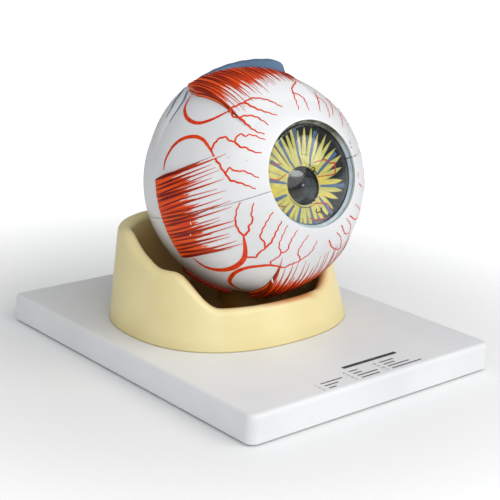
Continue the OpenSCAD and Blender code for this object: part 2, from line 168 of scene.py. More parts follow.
def lamp(name, offset, size, power):
    """A round soft lamp that stands off from the ball and faces it; the offset is in metres."""
    light = bpy.data.lights.new(name, "AREA")
    light.shape, light.size, light.energy = "DISK", size, power
    holder = bpy.data.objects.new(name, light)
    bpy.context.scene.collection.objects.link(holder)
    holder.location = EYE_CENTRE * MM + offset
    holder.rotation_mode = "QUATERNION"
    holder.rotation_quaternion = (-offset).to_track_quat("-Z", "Y")


KEY_OFFSET = Vector((0.62, -0.95, 1.05))
FRONT_OFFSET = camera_right * 0.36 + camera_up * 0.3 + to_camera * 1.25
lamp("key", KEY_OFFSET, 1.1, 9.0)
lamp("front", FRONT_OFFSET, 1.5, 8.5)
print("two lamps stand", round(KEY_OFFSET.length, 2), "and", round(FRONT_OFFSET.length, 2), "m off")

# %% [markdown]
# ## A small language for materials
#
# Node graphs get long, so shader maths is written as plain Python. A wrapped socket knows the operators:
# `1 - mask` adds a Math node. Every other node comes from one method, which takes the node's type, its
# settings and its inputs. A few short helpers name the patterns that all finishes share.

# %% Material helpers
class Socket:
    """An output socket that takes part in sums; each sum adds a Math node."""

    def __init__(self, finish, socket):
        self.finish = finish
        self.socket = socket

    def __add__(self, other):
        return self.finish.maths("ADD", self, other)

    def __radd__(self, other):
        return self.finish.maths("ADD", other, self)

    def __sub__(self, other):
        return self.finish.maths("SUBTRACT", self, other)

    def __rsub__(self, other):
        return self.finish.maths("SUBTRACT", other, self)

    def __mul__(self, other):
        return self.finish.maths("MULTIPLY", self, other)

    def __rmul__(self, other):
        return self.finish.maths("MULTIPLY", other, self)


class Finish:
    """One material with a Principled shader, and the nodes that feed it."""

    def __init__(self, name, **fixed):
        self.material = bpy.data.materials.new(name)
        self.material.use_nodes = True
        self.tree = self.material.node_tree
        self.shader = self.tree.nodes["Principled BSDF"]
        self.set(**fixed)

    def set(self, **values):
        """Sets or links the shader's sockets; Base_Color stands for Base Color."""
        for name, value in values.items():
            self.plug(self.shader.inputs[name.replace("_", " ")], value)

    def plug(self, target, value):
        if isinstance(value, Socket):
            self.tree.links.new(value.socket, target)
        else:
            target.default_value = value

    def node(self, kind, settings=None, inputs=None, output=0):
        """Adds a node, gives it its settings first and then its inputs, and returns an output."""
        made = self.tree.nodes.new("ShaderNode" + kind)
        for name, value in (settings or {}).items():
            if name == "stops":
                for place, colour in value[2:]:
                    made.color_ramp.elements.new(place)
                for element, (place, colour) in zip(made.color_ramp.elements, sorted(value)):
                    element.position, element.color = place, colour
            else:
                setattr(made, name, value)
        for name, value in (inputs or {}).items():
            self.plug(made.inputs[name], value)
        return Socket(self, made.outputs[output])

    def maths(self, operation, first, second=0.0):
        return self.node("Math", {"operation": operation}, {0: first, 1: second})

    def place(self, scale=(1, 1, 1)):
        """Object coordinates in metres, stretched."""
        return self.node("Mapping", {}, {"Vector": self.node("TexCoord", output="Object"), "Scale": scale})

    def uv(self, scale=(1, 1, 1)):
        """The piece's own map, from 0 to 1 across and along."""
        return self.node("Mapping", {}, {"Vector": self.node("TexCoord", output="UV"), "Scale": scale})

    def noise(self, vector, scale, detail=3.0, rough=0.55):
        return self.node("TexNoise", {}, {"Vector": vector, "Scale": scale, "Detail": detail, "Roughness": rough})

    def ramp(self, value, low, high, start=0.0, end=1.0):
        """A smooth step of a value between two numbers, to a value between start and end."""
        return self.node("MapRange", {"interpolation_type": "SMOOTHSTEP"},
                         {0: value, 1: low, 2: high, 3: start, 4: end})

    def hill(self, value, foot, top, top_end, foot_end):
        """1 between the tops and 0 beyond the feet, with smooth slopes."""
        return self.ramp(value, foot, top) * (1 - self.ramp(value, top_end, foot_end))

    def patches(self, vector, scale, detail, low=0.35, high=0.7):
        """Noise with its middle stretched, so that patches of 0 and 1 stand clear."""
        return self.ramp(self.noise(vector, scale, detail), low, high)

    def off_middle(self, value):
        """How far a value from 0 to 1 lies from its middle."""
        return self.maths("ABSOLUTE", value - 0.5)

    def axes(self, vector):
        """The three parts of a vector."""
        parts = self.node("SeparateXYZ", {}, {0: vector}).socket.node.outputs
        return [Socket(self, part) for part in parts]

    def mix(self, factor, first, second):
        """One colour or the other, by the factor."""
        return self.node("Mix", {"data_type": "RGBA"}, {0: factor, 6: first, 7: second}, output=2)

    def bump(self, height, strength, millimetres):
        """A normal from a height from 0 to 1, which stands for so many millimetres."""
        return self.node("Bump", {}, {"Strength": strength, "Distance": millimetres * MM, "Height": height})


def dress(thing, finish):
    """Gives an object one finish all over."""
    thing.data.materials.clear()
    thing.data.materials.append(finish.material)


def add_piece(name, bm, matrix, finish, body, node=None, smooth_angle=40):
    piece = make_object(name, bm, matrix, smooth_angle)
    dress(piece, finish)
    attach(piece, body)
    if node:
        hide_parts(node)
    print(name, "has", len(piece.data.polygons), "faces")
    return piece


print("material helpers are ready")

# %% Floor and sky
FLOOR_HALF = 6000
GLOW_NEAR, GLOW_FAR, GLOW_STRENGTH = 0.12, 0.5, 0.6


def ground_finish():
    """White ground: plain paint that glows for the camera, more so far from the object."""
    finish = Finish("ground", Base_Color=srgb(238, 238, 238), Roughness=0.9, Specular_IOR_Level=0.1)
    flat = finish.node("VectorMath", {"operation": "MULTIPLY"}, {0: finish.place(), 1: (1, 1, 0)})
    away_from = finish.node("VectorMath", {"operation": "LENGTH"}, {0: flat}, output="Value")
    seen = finish.node("LightPath", output="Is Camera Ray") * finish.ramp(away_from, GLOW_NEAR, GLOW_FAR)
    paint = Socket(finish, finish.shader.outputs[0])
    glow = finish.node("Emission", {}, {"Color": (1, 1, 1, 1), "Strength": GLOW_STRENGTH})
    both = finish.node("AddShader", {}, {0: paint, 1: glow})
    shown = finish.node("MixShader", {}, {0: seen, 1: paint, 2: both})
    finish.plug(finish.tree.nodes["Material Output"].inputs["Surface"], shown)
    return finish


bm = bmesh.new()
bmesh.ops.create_grid(bm, x_segments=2, y_segments=2, size=FLOOR_HALF)
floor = make_object("floor", bm, TO_METRES)
dress(floor, ground_finish())

world = bpy.data.worlds.new("sky")
bpy.context.scene.world = world
world.use_nodes = True
SKY_COLOUR, SKY_STRENGTH, SKY_IN_MIRRORS, SKY_SEEN = (0.97, 0.985, 1, 1), 0.5, 0.12, 1.02
nodes, links = world.node_tree.nodes, world.node_tree.links
sky, mirrored, seen, either, shown, path = (nodes.new("ShaderNode" + kind) for kind in (
    "Background", "Background", "Background", "MixShader", "MixShader", "LightPath"))
for background, strength in ((sky, SKY_STRENGTH), (mirrored, SKY_IN_MIRRORS), (seen, SKY_SEEN)):
    background.inputs["Color"].default_value = SKY_COLOUR
    background.inputs["Strength"].default_value = strength
for source, target in ((path.outputs["Is Glossy Ray"], either.inputs[0]), (sky.outputs[0], either.inputs[1]),
                       (mirrored.outputs[0], either.inputs[2]), (path.outputs["Is Camera Ray"], shown.inputs[0]),
                       (either.outputs[0], shown.inputs[1]), (seen.outputs[0], shown.inputs[2]),
                       (shown.outputs[0], nodes["World Output"].inputs["Surface"])):
    links.new(source, target)
bpy.context.scene.view_settings.view_transform = "Standard"
print("floor and sky are in place")

# %% [markdown]
# ## Board, feet, screws and pins
#
# These have simple shapes, so the CAD solids stay and only get finishes. The board is moulded plastic with
# a very fine grain that softens its shine, and slightly uneven grey where hands have wiped it. A fine noise
# drives the bump, and a wide faint one the colour and the shine.

# %% Hard finishes
def moulded_finish(name, colour, shade, roughness=0.42, grain=0.05):
    """Moulded plastic: fine grain, faint cloudiness in colour and shine."""
    finish = Finish(name, Roughness=roughness)
    spot = finish.place()
    cloud = finish.patches(spot, 14, 2)
    finish.set(Base_Color=finish.mix(cloud, colour, shade), Roughness=cloud * 0.08 + (roughness - 0.04),
               Normal=finish.bump(finish.noise(spot, 1500, 2), 0.5, grain))
    return finish


def metal_finish(name, colour, roughness):
    """Turned metal with fine scratches round it."""
    finish = Finish(name, Metallic=1.0)
    scratch = finish.noise(finish.place(scale=(1, 1, 12)), 900, 2)
    finish.set(Base_Color=finish.mix(scratch, colour, tuple(part * 0.8 for part in colour[:3]) + (1,)),
               Roughness=scratch * 0.15 + roughness, Normal=finish.bump(scratch, 0.3, 0.02))
    return finish


def rubber_finish():
    """Matt black rubber with dust in its grain."""
    finish = Finish("rubber feet", Specular_IOR_Level=0.3)
    dust = finish.patches(finish.place(), 400, 4, 0.45, 0.75)
    finish.set(Base_Color=finish.mix(dust, srgb(32, 32, 34), srgb(62, 61, 60)), Roughness=dust * 0.1 + 0.75,
               Normal=finish.bump(dust, 0.4, 0.1))
    return finish


dress(node_of["baseboard"], moulded_finish("board grey", srgb(230, 231, 232), srgb(223, 224, 226)))
dress(node_of["board_feet"], rubber_finish())
dress(node_of["stand_screws"], metal_finish("screw steel", srgb(196, 197, 200), 0.28))
dress(node_of["locating_pins"], metal_finish("pin brass", srgb(214, 180, 102), 0.25))
print("dressed the board, its feet, the screws and the pins")

# %% [markdown]
# ## The stand
#
# The real stand is a hollow moulding like an eye socket: an oval wall that leans inwards, with a rim that
# runs in an S, high at the back and left, low at the front. It is lofted here: one oval of edges is
# extruded again and again, and each new ring is moved to its height by the same formula as the CAD wall.
# Its own map runs round the oval and up, over the rim and down, so the brown painted shade can stay inside.

# %% Stand sizes
STAND_X, STAND_Y = -3.2, 12.5
STAND_HALF_W, STAND_HALF_D = 81, 67.4
STAND_POWER = 2.33
RIM_HIGH, RIM_SHOULDER, RIM_FRONT, RIM_RIGHT = 82, 66, 45, 58
BACK_RISE, SHOULDER_FALL, FRONT_FALL, RIGHT_RISE = (75, 112), (160, 194), (202, 232), (290, 320)
RIM_R = 4.5
WALL_LEAN, LEAN_SWING, LEAN_MOST_AT = 0.178, 0.102, -30
FLOOR_Z = BOARD_TOP + 9
FLOOR_FILLET = 7
PEDESTAL = Vector((EYE_CENTRE.x + 3, EYE_CENTRE.y + 7, 45))
PEDESTAL_R = 18
SEAT_R = SCLERA_R + 0.3


def ease(value):
    """A smooth step from 0 to 1."""
    value = min(1, max(0, value))
    return value * value * (3 - 2 * value)


def crest(angle):
    """Height of the rim at an angle from +X, in degrees."""
    steps = ((RIM_HIGH - RIM_RIGHT, BACK_RISE), (RIM_SHOULDER - RIM_HIGH, SHOULDER_FALL),
             (RIM_FRONT - RIM_SHOULDER, FRONT_FALL), (RIM_RIGHT - RIM_FRONT, RIGHT_RISE))
    return RIM_RIGHT + sum(step * ease((angle - span[0]) / (span[1] - span[0])) for step, span in steps)


def wall_spot(angle, inset, height):
    """A spot of the wall, by its distance in from the foot's oval."""
    bow = [math.copysign(abs(part) ** (2 / STAND_POWER), part) for part in turned(angle)]
    return Vector((STAND_X + (STAND_HALF_W - inset) * bow[0], STAND_Y + (STAND_HALF_D - inset) * bow[1], height))


def wall_section(angle):
    """Spots up the outside of the wall, over its rim, down its inside and over the pedestal."""
    rim_z = crest(angle) - RIM_R
    lean = WALL_LEAN + LEAN_SWING * turned(angle - LEAN_MOST_AT)[0]
    rim_in = lean * (rim_z - BOARD_TOP) + RIM_R
    foot_in = rim_in + RIM_R + 1
    fillet_z = FLOOR_Z + FLOOR_FILLET
    spots = [wall_spot(angle, lean * part * (rim_z - BOARD_TOP), BOARD_TOP + part * (rim_z - BOARD_TOP))
             for part in (0, 0.03, 0.2, 0.4, 0.6, 0.8, 0.97)]
    for turn in range(180, -1, -18):
        reach, height = turned(turn)
        spots.append(wall_spot(angle, rim_in + RIM_R * reach, rim_z + RIM_R * height))
    for part in (0.25, 0.5, 0.75):
        spots.append(wall_spot(angle, rim_in + RIM_R + part, rim_z + (fillet_z - rim_z) * part))
    for turn in range(0, 91, 15):
        reach, height = turned(turn)
        spots.append(wall_spot(angle, foot_in + FLOOR_FILLET * (1 - reach), fillet_z - FLOOR_FILLET * height))
    across, along = turned(angle)
    for radius, height in ((PEDESTAL_R + 3, FLOOR_Z), (PEDESTAL_R + 0.8, FLOOR_Z + 0.6), (PEDESTAL_R, FLOOR_Z + 3),
                           (PEDESTAL_R, None), (PEDESTAL_R * 0.97, None), (PEDESTAL_R * 0.6, None), (0.5, None)):
        spot = Vector((PEDESTAL.x + radius * across, PEDESTAL.y + radius * along, height or 0))
        if height is None:
            off = (spot.xy - EYE_CENTRE.xy).length_squared
            rounding = 0.7 if radius == PEDESTAL_R else 0
            spot.z = min(EYE_CENTRE.z - math.sqrt(SEAT_R**2 - off), PEDESTAL.z) - rounding
        spots.append(spot)
    return spots


print("rim heights at the back, left, front and right:", [round(crest(a), 1) for a in (120, 180, 250, 340)])

# %% Stand mesh
def loft(bm, steps, section, closed=False):
    """Extrudes a closed ring of edges along the sections, and maps it round and along."""
    turn_of = bm.verts.layers.float.new("turn")
    row_of = bm.verts.layers.float.new("row")
    ring = bmesh.ops.create_circle(bm, segments=steps, radius=1)["verts"]
    sections = []
    for step, vert in enumerate(ring):
        vert[turn_of] = step
        sections.append(section(360 * step / steps))
        vert.co = sections[step][0]
    edges = bm.edges[:]
    rows = len(sections[0])
    for row in range(1, rows):
        grown = bmesh.ops.extrude_edge_only(bm, edges=edges)["geom"]
        edges = [item for item in grown if isinstance(item, bmesh.types.BMEdge)]
        fresh = [item for item in grown if isinstance(item, bmesh.types.BMVert)]
        for vert in fresh:
            vert[row_of] = row
            vert.co = sections[int(vert[turn_of])][row]
        edges = [edge for edge in edges if all(vert[row_of] == row for vert in edge.verts)]
    if closed:
        bmesh.ops.bridge_loops(bm, edges=[edge for edge in bm.edges if edge.is_boundary])
    else:
        bmesh.ops.holes_fill(bm, edges=bm.edges[:], sides=0)
    bmesh.ops.recalc_face_normals(bm, faces=bm.faces)
    uv = bm.loops.layers.uv.new("map")
    for face in bm.faces:
        wraps = max(vert[turn_of] for vert in face.verts) - min(vert[turn_of] for vert in face.verts) > steps / 2
        for loop in face.loops:
            turn = loop.vert[turn_of]
            turn += steps if wraps and turn < steps / 2 else 0
            loop[uv].uv = (turn / steps, loop.vert[row_of] / (rows - 1))
    return rows


def stand_finish():
    """Cream moulding, with painted shade at its foot; inside, painted shade runs from tan below the rim to a dark
    olive brown at the floor.
    """
    finish = Finish("stand cream", Specular_IOR_Level=0.4, Coat_Weight=0.15, Coat_Roughness=0.3)
    round_wall, along, _ = finish.axes(finish.uv())
    spot = finish.place()
    cloud = finish.noise(spot, 22, 3)
    cream = finish.mix(finish.ramp(cloud, 0.3, 0.7), srgb(240, 227, 174), srgb(233, 217, 158))
    height = finish.axes(spot)[2]
    # Painted shade at the foot: darker towards the board, and a thin dark line of painted contact shadow where the
    # wall meets it.
    cream = finish.mix(finish.ramp(height, BOARD_TOP * MM, 0.03, 0.3, 0.0), cream, srgb(214, 196, 136))
    cream = finish.mix(finish.ramp(height, 0.0192, 0.0199, 0.7, 0.0), cream, srgb(120, 104, 66))
    # Depth inside the rim, for the painted shade; it is reached sooner on the right part.
    depth = along + (cloud - 0.5) * 0.05 + finish.hill(round_wall, 0.77, 0.81, 0.93, 0.98) * 0.14
    # A soft pinkish-brown tint along the inner edge of the front rim, reaching sooner on its right part.
    front = finish.hill(round_wall, 0.56, 0.6, 0.765, 0.8)
    rim_tint = (front * finish.ramp(depth, 0.3, 0.42)
             + finish.ramp(round_wall, 0.7, 0.74) * front * finish.ramp(depth, 0.25, 0.33))
    rim_tint = finish.maths("MINIMUM", rim_tint, 1.0) * finish.ramp(cloud, 0.25, 0.6, 0.6, 1.0)
    colour = finish.mix(rim_tint, cream, srgb(204, 150, 96))
    # Painted shade: the cavity darkens with depth from tan to olive to a dark brown.
    for low, high, painted_shade in ((0.46, 0.55, (204, 172, 112)), (0.56, 0.7, (164, 134, 74)), (0.68, 0.82, (126, 90, 30))):
        colour = finish.mix(finish.ramp(depth, low, high), colour, srgb(*painted_shade))
    finish.set(Base_Color=colour, Roughness=cloud * 0.12 + 0.36,
               Normal=finish.bump(finish.noise(spot, 120, 2), 0.25, 0.12))
    return finish


bm = bmesh.new()
rows = loft(bm, 144, wall_section)
add_piece("orbit_stand_moulding", bm, TO_METRES, stand_finish(), "stand", "orbit_stand")
print("the stand's section has", rows, "spots")

# %% [markdown]
# ## The white shell
#
# The shell is turned on a lathe: its wall's section is drawn once and spun round the gaze. A cut square to
# the seam then gives two halves with real cut faces, and a small bevel on the outer edge makes the seam
# read as a fine grey line. The ring wall round the iris gets its own finish, because on the model it is
# painted in grey-blue bands.

# %% Lathe and cut
SEAM_HALF = 0.15
SHELL_IN = SCLERA_R - 5
COLLAR_R = LIMBUS_R - 1.8
LEDGE_F = LIMBUS_F - 3.5
LIP_OUT, LIP_DOWN, LIP_START, LIP_EDGE = 0.1, 0.15, 0.5, 0.4
SEAM_BEVEL, NEARLY = 0.3, 0.05
RING_BEHIND = 40
RING_LINES = ((0.0612, 0.0617, 0.75), (0.0631, 0.0634, 0.6))
RING_SOFT = 0.0002


def arc(radius, start, end, steps, centre=0.0):
    """Spots of an arc round a centre on the gaze's line, as (radius, forward), by angles from the gaze."""
    ways = [turned(start + (end - start) * step / steps) for step in range(steps + 1)]
    return [(radius * aside, centre + radius * ahead) for ahead, aside in ways]


def lathe(bm, spots, steps):
    """Spins a line of (radius, forward) spots once round Z."""
    verts = [bm.verts.new((radius, 0, forward)) for radius, forward in spots]
    edges = [bm.edges.new(pair) for pair in zip(verts, verts[1:])]
    bmesh.ops.spin(bm, geom=verts + edges, axis=(0, 0, 1), cent=(0, 0, 0), angle=math.tau, steps=steps,
                   use_merge=True)
    bmesh.ops.remove_doubles(bm, verts=bm.verts, dist=0.002)
    bmesh.ops.recalc_face_normals(bm, faces=bm.faces)


def keep_half(bm, normal):
    """Cuts away what lies behind a plane by the eye's centre, and closes the cut."""
    cut = bmesh.ops.bisect_plane(bm, geom=bm.verts[:] + bm.edges[:] + bm.faces[:],
                                 plane_co=Vector(normal) * SEAM_HALF, plane_no=normal, clear_inner=True)
    edges = [item for item in cut["geom_cut"] if isinstance(item, bmesh.types.BMEdge)]
    bmesh.ops.triangle_fill(bm, edges=edges, use_beauty=True)
    return edges


def half_shell(normal):
    """The mesh of one half of the white shell, with a bevelled seam and its ring wall marked."""
    bm = bmesh.new()
    outer_start = math.degrees(math.asin((LIMBUS_R + LIP_EDGE) / SCLERA_R))
    inner_start = math.degrees(math.asin(COLLAR_R / SHELL_IN))
    collar = [(COLLAR_R, LEDGE_F), (LIMBUS_R, LEDGE_F), (LIMBUS_R, LIMBUS_F - LIP_START),
              (LIMBUS_R + LIP_OUT, LIMBUS_F - LIP_DOWN)]
    lathe(bm, arc(SHELL_IN, 180, inner_start, 60) + collar + arc(SCLERA_R, outer_start, 180, 110), 192)
    edges = keep_half(bm, normal)
    rim = [edge for edge in edges if edge.is_valid
           and all(abs(vert.co.length - SCLERA_R) < NEARLY for vert in edge.verts)]
    bmesh.ops.bevel(bm, geom=rim, offset=SEAM_BEVEL, offset_type="OFFSET", segments=2, profile=0.5, affect="EDGES",
                    material=-1)
    for face in bm.faces:
        middle = face.calc_center_median()
        if middle.z > RING_BEHIND and middle.xy.length < LIMBUS_R + NEARLY:
            face.material_index = 1
    return bm


print("the shell's inner radius is", SHELL_IN, "mm and the cornea's ledge is at", round(LEDGE_F, 2), "mm")

# %% Shell finishes
WHITE, WHITE_SHADE = srgb(233, 234, 236), srgb(225, 226, 227)


def white_base(finish):
    """The shell's faintly cloudy white, and the place that it was mixed by."""
    spot = finish.place()
    return finish.mix(finish.patches(spot, 18, 3), WHITE, WHITE_SHADE), spot


def sclera_finish():
    """Satin white paint, sprayed, with a faint orange-peel skin and rare grey specks."""
    finish = Finish("sclera white", Coat_Weight=0.35, Coat_Roughness=0.22)
    colour, spot = white_base(finish)
    speck = finish.ramp(finish.noise(spot, 330, 2, 0.4), 0.76, 0.8)
    finish.set(Base_Color=finish.mix(speck * 0.5, colour, srgb(120, 118, 112)),
               Roughness=finish.noise(spot, 60, 2) * 0.14 + 0.3,
               Normal=finish.bump(finish.noise(spot, 260, 1), 0.15, 0.08))
    return finish


def ring_wall_finish():
    """Ring wall round the iris: pale blue-grey bands between dark lines, olive and chipped at the top."""
    finish = Finish("ring wall", Roughness=0.4, Coat_Weight=0.2)
    spot = finish.node("Mapping", {"vector_type": "TEXTURE"}, {
        "Vector": finish.node("TexCoord", output="Object"), "Location": GAZE.to_translation(),
        "Rotation": GAZE.to_euler()})
    sideways, upward, forward = finish.axes(spot)
    worn = finish.noise(finish.place(), 160, 4)
    depth = forward + (worn - 0.5) * 0.0005
    band = finish.mix(finish.ramp(worn, 0.4, 0.65), srgb(196, 208, 214), srgb(210, 220, 225))
    top = finish.ramp(upward + sideways * 0.25, 0.012, 0.026)
    band = finish.mix(top, band, finish.mix(finish.ramp(worn, 0.46, 0.56), srgb(104, 106, 94), srgb(158, 160, 142)))
    for low, high, strength in RING_LINES:
        line = finish.hill(depth, low - RING_SOFT, low, high, high + RING_SOFT)
        band = finish.mix(line * strength, band, srgb(44, 48, 50))
    seam = finish.ramp(finish.maths("ABSOLUTE", upward), 0.00025, 0.0005, 1.0, 0.0)
    band = finish.mix(seam * 0.85, band, srgb(40, 42, 44))
    chipped = finish.ramp(worn, 0.62, 0.66) * top
    band = finish.mix(chipped, band, srgb(196, 198, 186))
    band = finish.mix(finish.ramp(forward, 0.0594, 0.0598), srgb(20, 21, 23), band)
    finish.set(Base_Color=band, Normal=finish.bump(worn, 0.3, 0.3))
    return finish


sclera_white, ring_wall = sclera_finish(), ring_wall_finish()
for name, normal, body in (("sclera_lower", (0, -1, 0), "eye_lower"), ("sclera_upper", (0, 1, 0), "eye_upper")):
    half = make_object(name + "_shell", half_shell(normal), GAZE, 30)
    for finish in (sclera_white, ring_wall):
        half.data.materials.append(finish.material)
    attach(half, body)
    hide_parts(name)
    print(half.name, "has", len(half.data.polygons), "faces")

# %% [markdown]
# ## Raised muscles
#
# Each straight muscle is a raised slab on the ball, thick at its back end and running out to nothing in
# front. A flat grid is extruded once, so it has a top, walls and a base, and every corner of it is then
# moved on to the ball: across the fibres, along them, and out. The grid's own places become the map, so the
# paint can follow the fibres. The orange-red paint ends in brushed points, and white shows beyond.

# %% Muscle shapes
class Muscle:
    """A raised muscle. It says where a place across (u) and along (v) its fibres lies in the eye's frame."""

    def __init__(self, tip, back, thick, left, right, frame_of):
        self.tip, self.thick = tip, thick
        self.back, self.left, self.right = back, left, right
        self.back_most = max(back(0), back(1))
        self.frame_of = frame_of

    def skin(self, along):
        """Distance of the slab's top from the eye's centre, at a place along the gaze's line."""
        shift = self.thick * SCLERA_R / (self.back_most - self.tip)
        top = SCLERA_R - shift * self.tip / SCLERA_R
        return math.sqrt(top**2 - shift**2 + 2 * shift * along)

    def flat(self, u, v):
        along = self.back(u) + (self.tip - self.back(u)) * v
        left, right = self.left(v), self.right(v)
        return left + (right - left) * u, along

    def at(self, u, v, proud=0.0, base=False):
        """A spot on the slab's top, or on its base just inside the shell's skin."""
        across, along = self.flat(u, v)
        reach = SCLERA_R - 0.4 if base else max(self.skin(along), SCLERA_R) + proud
        out = math.sqrt(reach**2 - across**2 - along**2)
        return self.frame_of @ Vector((across, along, out))

    def length(self):
        return self.back(0.5) - self.tip

    def width(self):
        return self.right(0.5) - self.left(0.5)


UPWARD = Matrix.Identity(3)
DOWNWARD = Matrix(((1, 0, 0), (0, 1, 0), (0, 0, -1)))
LEFTWARD = Matrix(((0, 0, -1), (0, 1, 0), (1, 0, 0)))
RIGHTWARD = Matrix(((0, 0, 1), (0, 1, 0), (1, 0, 0)))


def superior_back(u):
    """The upper muscle's back end slants, and its left corner is cut."""
    across = -29 + 58 * u
    slanting = 2 - 35 * (across + 25) / 54
    return min(slanting, -12 + (across + 29) * 3.5)


def inferior_back(u):
    """The lower muscle's back end, cut off on the nose side."""
    across = -31 + 62 * u
    return -2 - max(0, across - 14) * 18 / 17


SIDE_MUSCLE = (-48, lambda u: -0.5, 3.6, lambda v: -27.5, lambda v: 25 + 6 * v)
MUSCLES = {
    "superior_rectus": Muscle(-57, superior_back, 5, lambda v: -29, lambda v: 29, UPWARD),
    "inferior_rectus": Muscle(-50, inferior_back, 5, lambda v: -31, lambda v: 31, DOWNWARD),
    "lateral_rectus": Muscle(*SIDE_MUSCLE, LEFTWARD),
    "medial_rectus": Muscle(*SIDE_MUSCLE, RIGHTWARD),
}


def slab(bm, muscle, columns, rows, rounding=1.3):
    """A closed slab over the muscle's outline, with rounded edges and a map along its fibres."""
    bmesh.ops.create_grid(bm, x_segments=columns, y_segments=rows, size=0.5)
    bmesh.ops.translate(bm, verts=bm.verts, vec=(0.5, 0.5, 0))
    lifted = bmesh.ops.extrude_face_region(bm, geom=bm.faces[:], use_keep_orig=True)["geom"]
    top = [item for item in lifted if isinstance(item, bmesh.types.BMVert)]
    bmesh.ops.translate(bm, verts=top, vec=(0, 0, 1))
    uv = bm.loops.layers.uv.new("map")
    for face in bm.faces:
        for loop in face.loops:
            loop[uv].uv = loop.vert.co.xy
    for vert in bm.verts:
        u, v, above = vert.co
        edge = min(min(u, 1 - u) * muscle.width(), v * muscle.length())
        drop = rounding - math.sqrt(rounding**2 - max(0, rounding - edge) ** 2)
        swell = 0.12 * math.sin(u * 40) * (1 - v)
        vert.co = muscle.at(u, v, proud=swell - drop - 0.15, base=above < 0.5)
    bmesh.ops.recalc_face_normals(bm, faces=bm.faces)


print("muscle widths:", {name: round(muscle.width(), 1) for name, muscle in MUSCLES.items()})

# %% Muscle finish and pieces
MAROON, FIBRE_RED, FIBRE_ORANGE = srgb(112, 14, 0), srgb(220, 58, 2), srgb(246, 90, 20)


def muscle_finish(name, reach, fall=0.0):
    """Brushed orange-red over white. Past the reach, which can fall to one side, the paint breaks into points."""
    finish = Finish(name, Coat_Weight=0.1, Coat_Roughness=0.3, Roughness=0.45, Specular_IOR_Level=0.25)
    white, spot = white_base(finish)
    across, along, _ = finish.axes(finish.uv())
    fibres = finish.noise(finish.uv(scale=(34, 1.6, 1)), 1, 3, 0.6)
    fine = finish.noise(finish.uv(scale=(120, 4, 1)), 1, 2)
    red = finish.mix(finish.ramp(fibres, 0.36, 0.6), FIBRE_RED, FIBRE_ORANGE)
    red = finish.mix(finish.ramp(fine, 0.55, 0.8) * 0.4, red, srgb(250, 122, 60))
    red = finish.mix(finish.ramp(fibres, 0.26, 0.38, 0.45, 0.0), red, MAROON)
    red = finish.mix(finish.ramp(along, 0.0, 0.035, 0.8, 0.0), red, MAROON)
    middle = finish.off_middle(across)
    edge = finish.ramp(middle, 0.47, 0.495)
    red = finish.mix(edge * 0.8, red, MAROON)
    out = finish.node("VectorMath", {"operation": "DISTANCE"}, {0: spot, 1: EYE_CENTRE * MM}, output="Value")
    level = (out - SCLERA_R * MM) * (1 / (4 * MM))
    banded = finish.ramp(finish.off_middle(level), 0.06, 0.22, 1.0, 0.0)
    banded = finish.maths("MAXIMUM", banded, finish.ramp(level, 0.0, 0.2, 1.0, 0.0))
    # The walls' orange is brighter than the top's, as painted light on walls that face away from the lamps. Maroon
    # bands run along their foot and middle.
    wall_red = finish.mix(banded, finish.mix(finish.ramp(fine, 0.4, 0.6), FIBRE_ORANGE, srgb(255, 110, 36)), MAROON)
    wall = finish.maths("MAXIMUM", finish.ramp(middle, 0.496, 0.4995), finish.ramp(along, 0.0005, 0.002, 1.0, 0.0))
    red = finish.mix(wall, red, wall_red)
    cover = along + (fibres - 0.5) * 1.0 + (fine - 0.5) * 0.15 - edge * 0.3 + finish.ramp(across, 0.3, 0.95) * fall
    finish.set(Base_Color=finish.mix(finish.ramp(cover, reach - 0.03, reach + 0.03), red, white),
               Normal=finish.bump(fibres * 0.6 + fine * 0.4, 0.5, 0.35))
    return finish


def add_muscle(name, muscle, finish, half=None):
    """Makes a muscle's slab, or the half of it over or under the seam."""
    bm = bmesh.new()
    slab(bm, muscle, 96, 48)
    if half:
        keep_half(bm, (0, 0, 1 if half == "upper" else -1))
    node = f"{name}_{half}" if half else name
    body = "eye_upper" if half == "upper" or name.startswith("superior") else "eye_lower"
    add_piece(node + "_relief", bm, EYE, finish, body, node, 50)


upper_red = muscle_finish("muscle red, upper", 0.6, 0.32)
lower_red = muscle_finish("muscle red, lower", 0.62)
side_red = muscle_finish("muscle red, side", 0.55)
for name, red in (("superior_rectus", upper_red), ("inferior_rectus", lower_red)):
    add_muscle(name, MUSCLES[name], red)
for name in ("lateral_rectus", "medial_rectus"):
    for half in ("lower", "upper"):
        add_muscle(name, MUSCLES[name], side_red, half)

# %% [markdown]
# ## Slanted muscles
#
# The blue slab behind the upper muscle is a tendon, and a flat strip of muscle lies under the ball. Both
# follow the ball at a nearly even thickness. The same slab is used, with other edges. The tendon runs on
# down the ball's side as a low white wedge, a sheet whose edges sink into the shell.

# %% Tendon and lower slanted muscle
class Band(Muscle):
    """A strip of even or slanting thickness over a plain four-cornered outline."""

    def __init__(self, corners, rise_left, rise_right, frame_of):
        self.corners = [Vector(corner) for corner in corners]
        self.rise_left, self.rise_right = rise_left, rise_right
        self.frame_of = frame_of

    def at(self, u, v, proud=0.0, base=False):
        back_left, back_right, front_right, front_left = self.corners
        spot = back_left.lerp(back_right, u).lerp(front_left.lerp(front_right, u), v)
        height = -0.4 if base else self.rise_left + (self.rise_right - self.rise_left) * u + proud
        out = math.sqrt((SCLERA_R + height) ** 2 - spot.length_squared)
        return self.frame_of @ Vector((spot.x, spot.y, out))

    def length(self):
        return (self.corners[0] - self.corners[3]).length

    def width(self):
        return (self.corners[0] - self.corners[1]).length


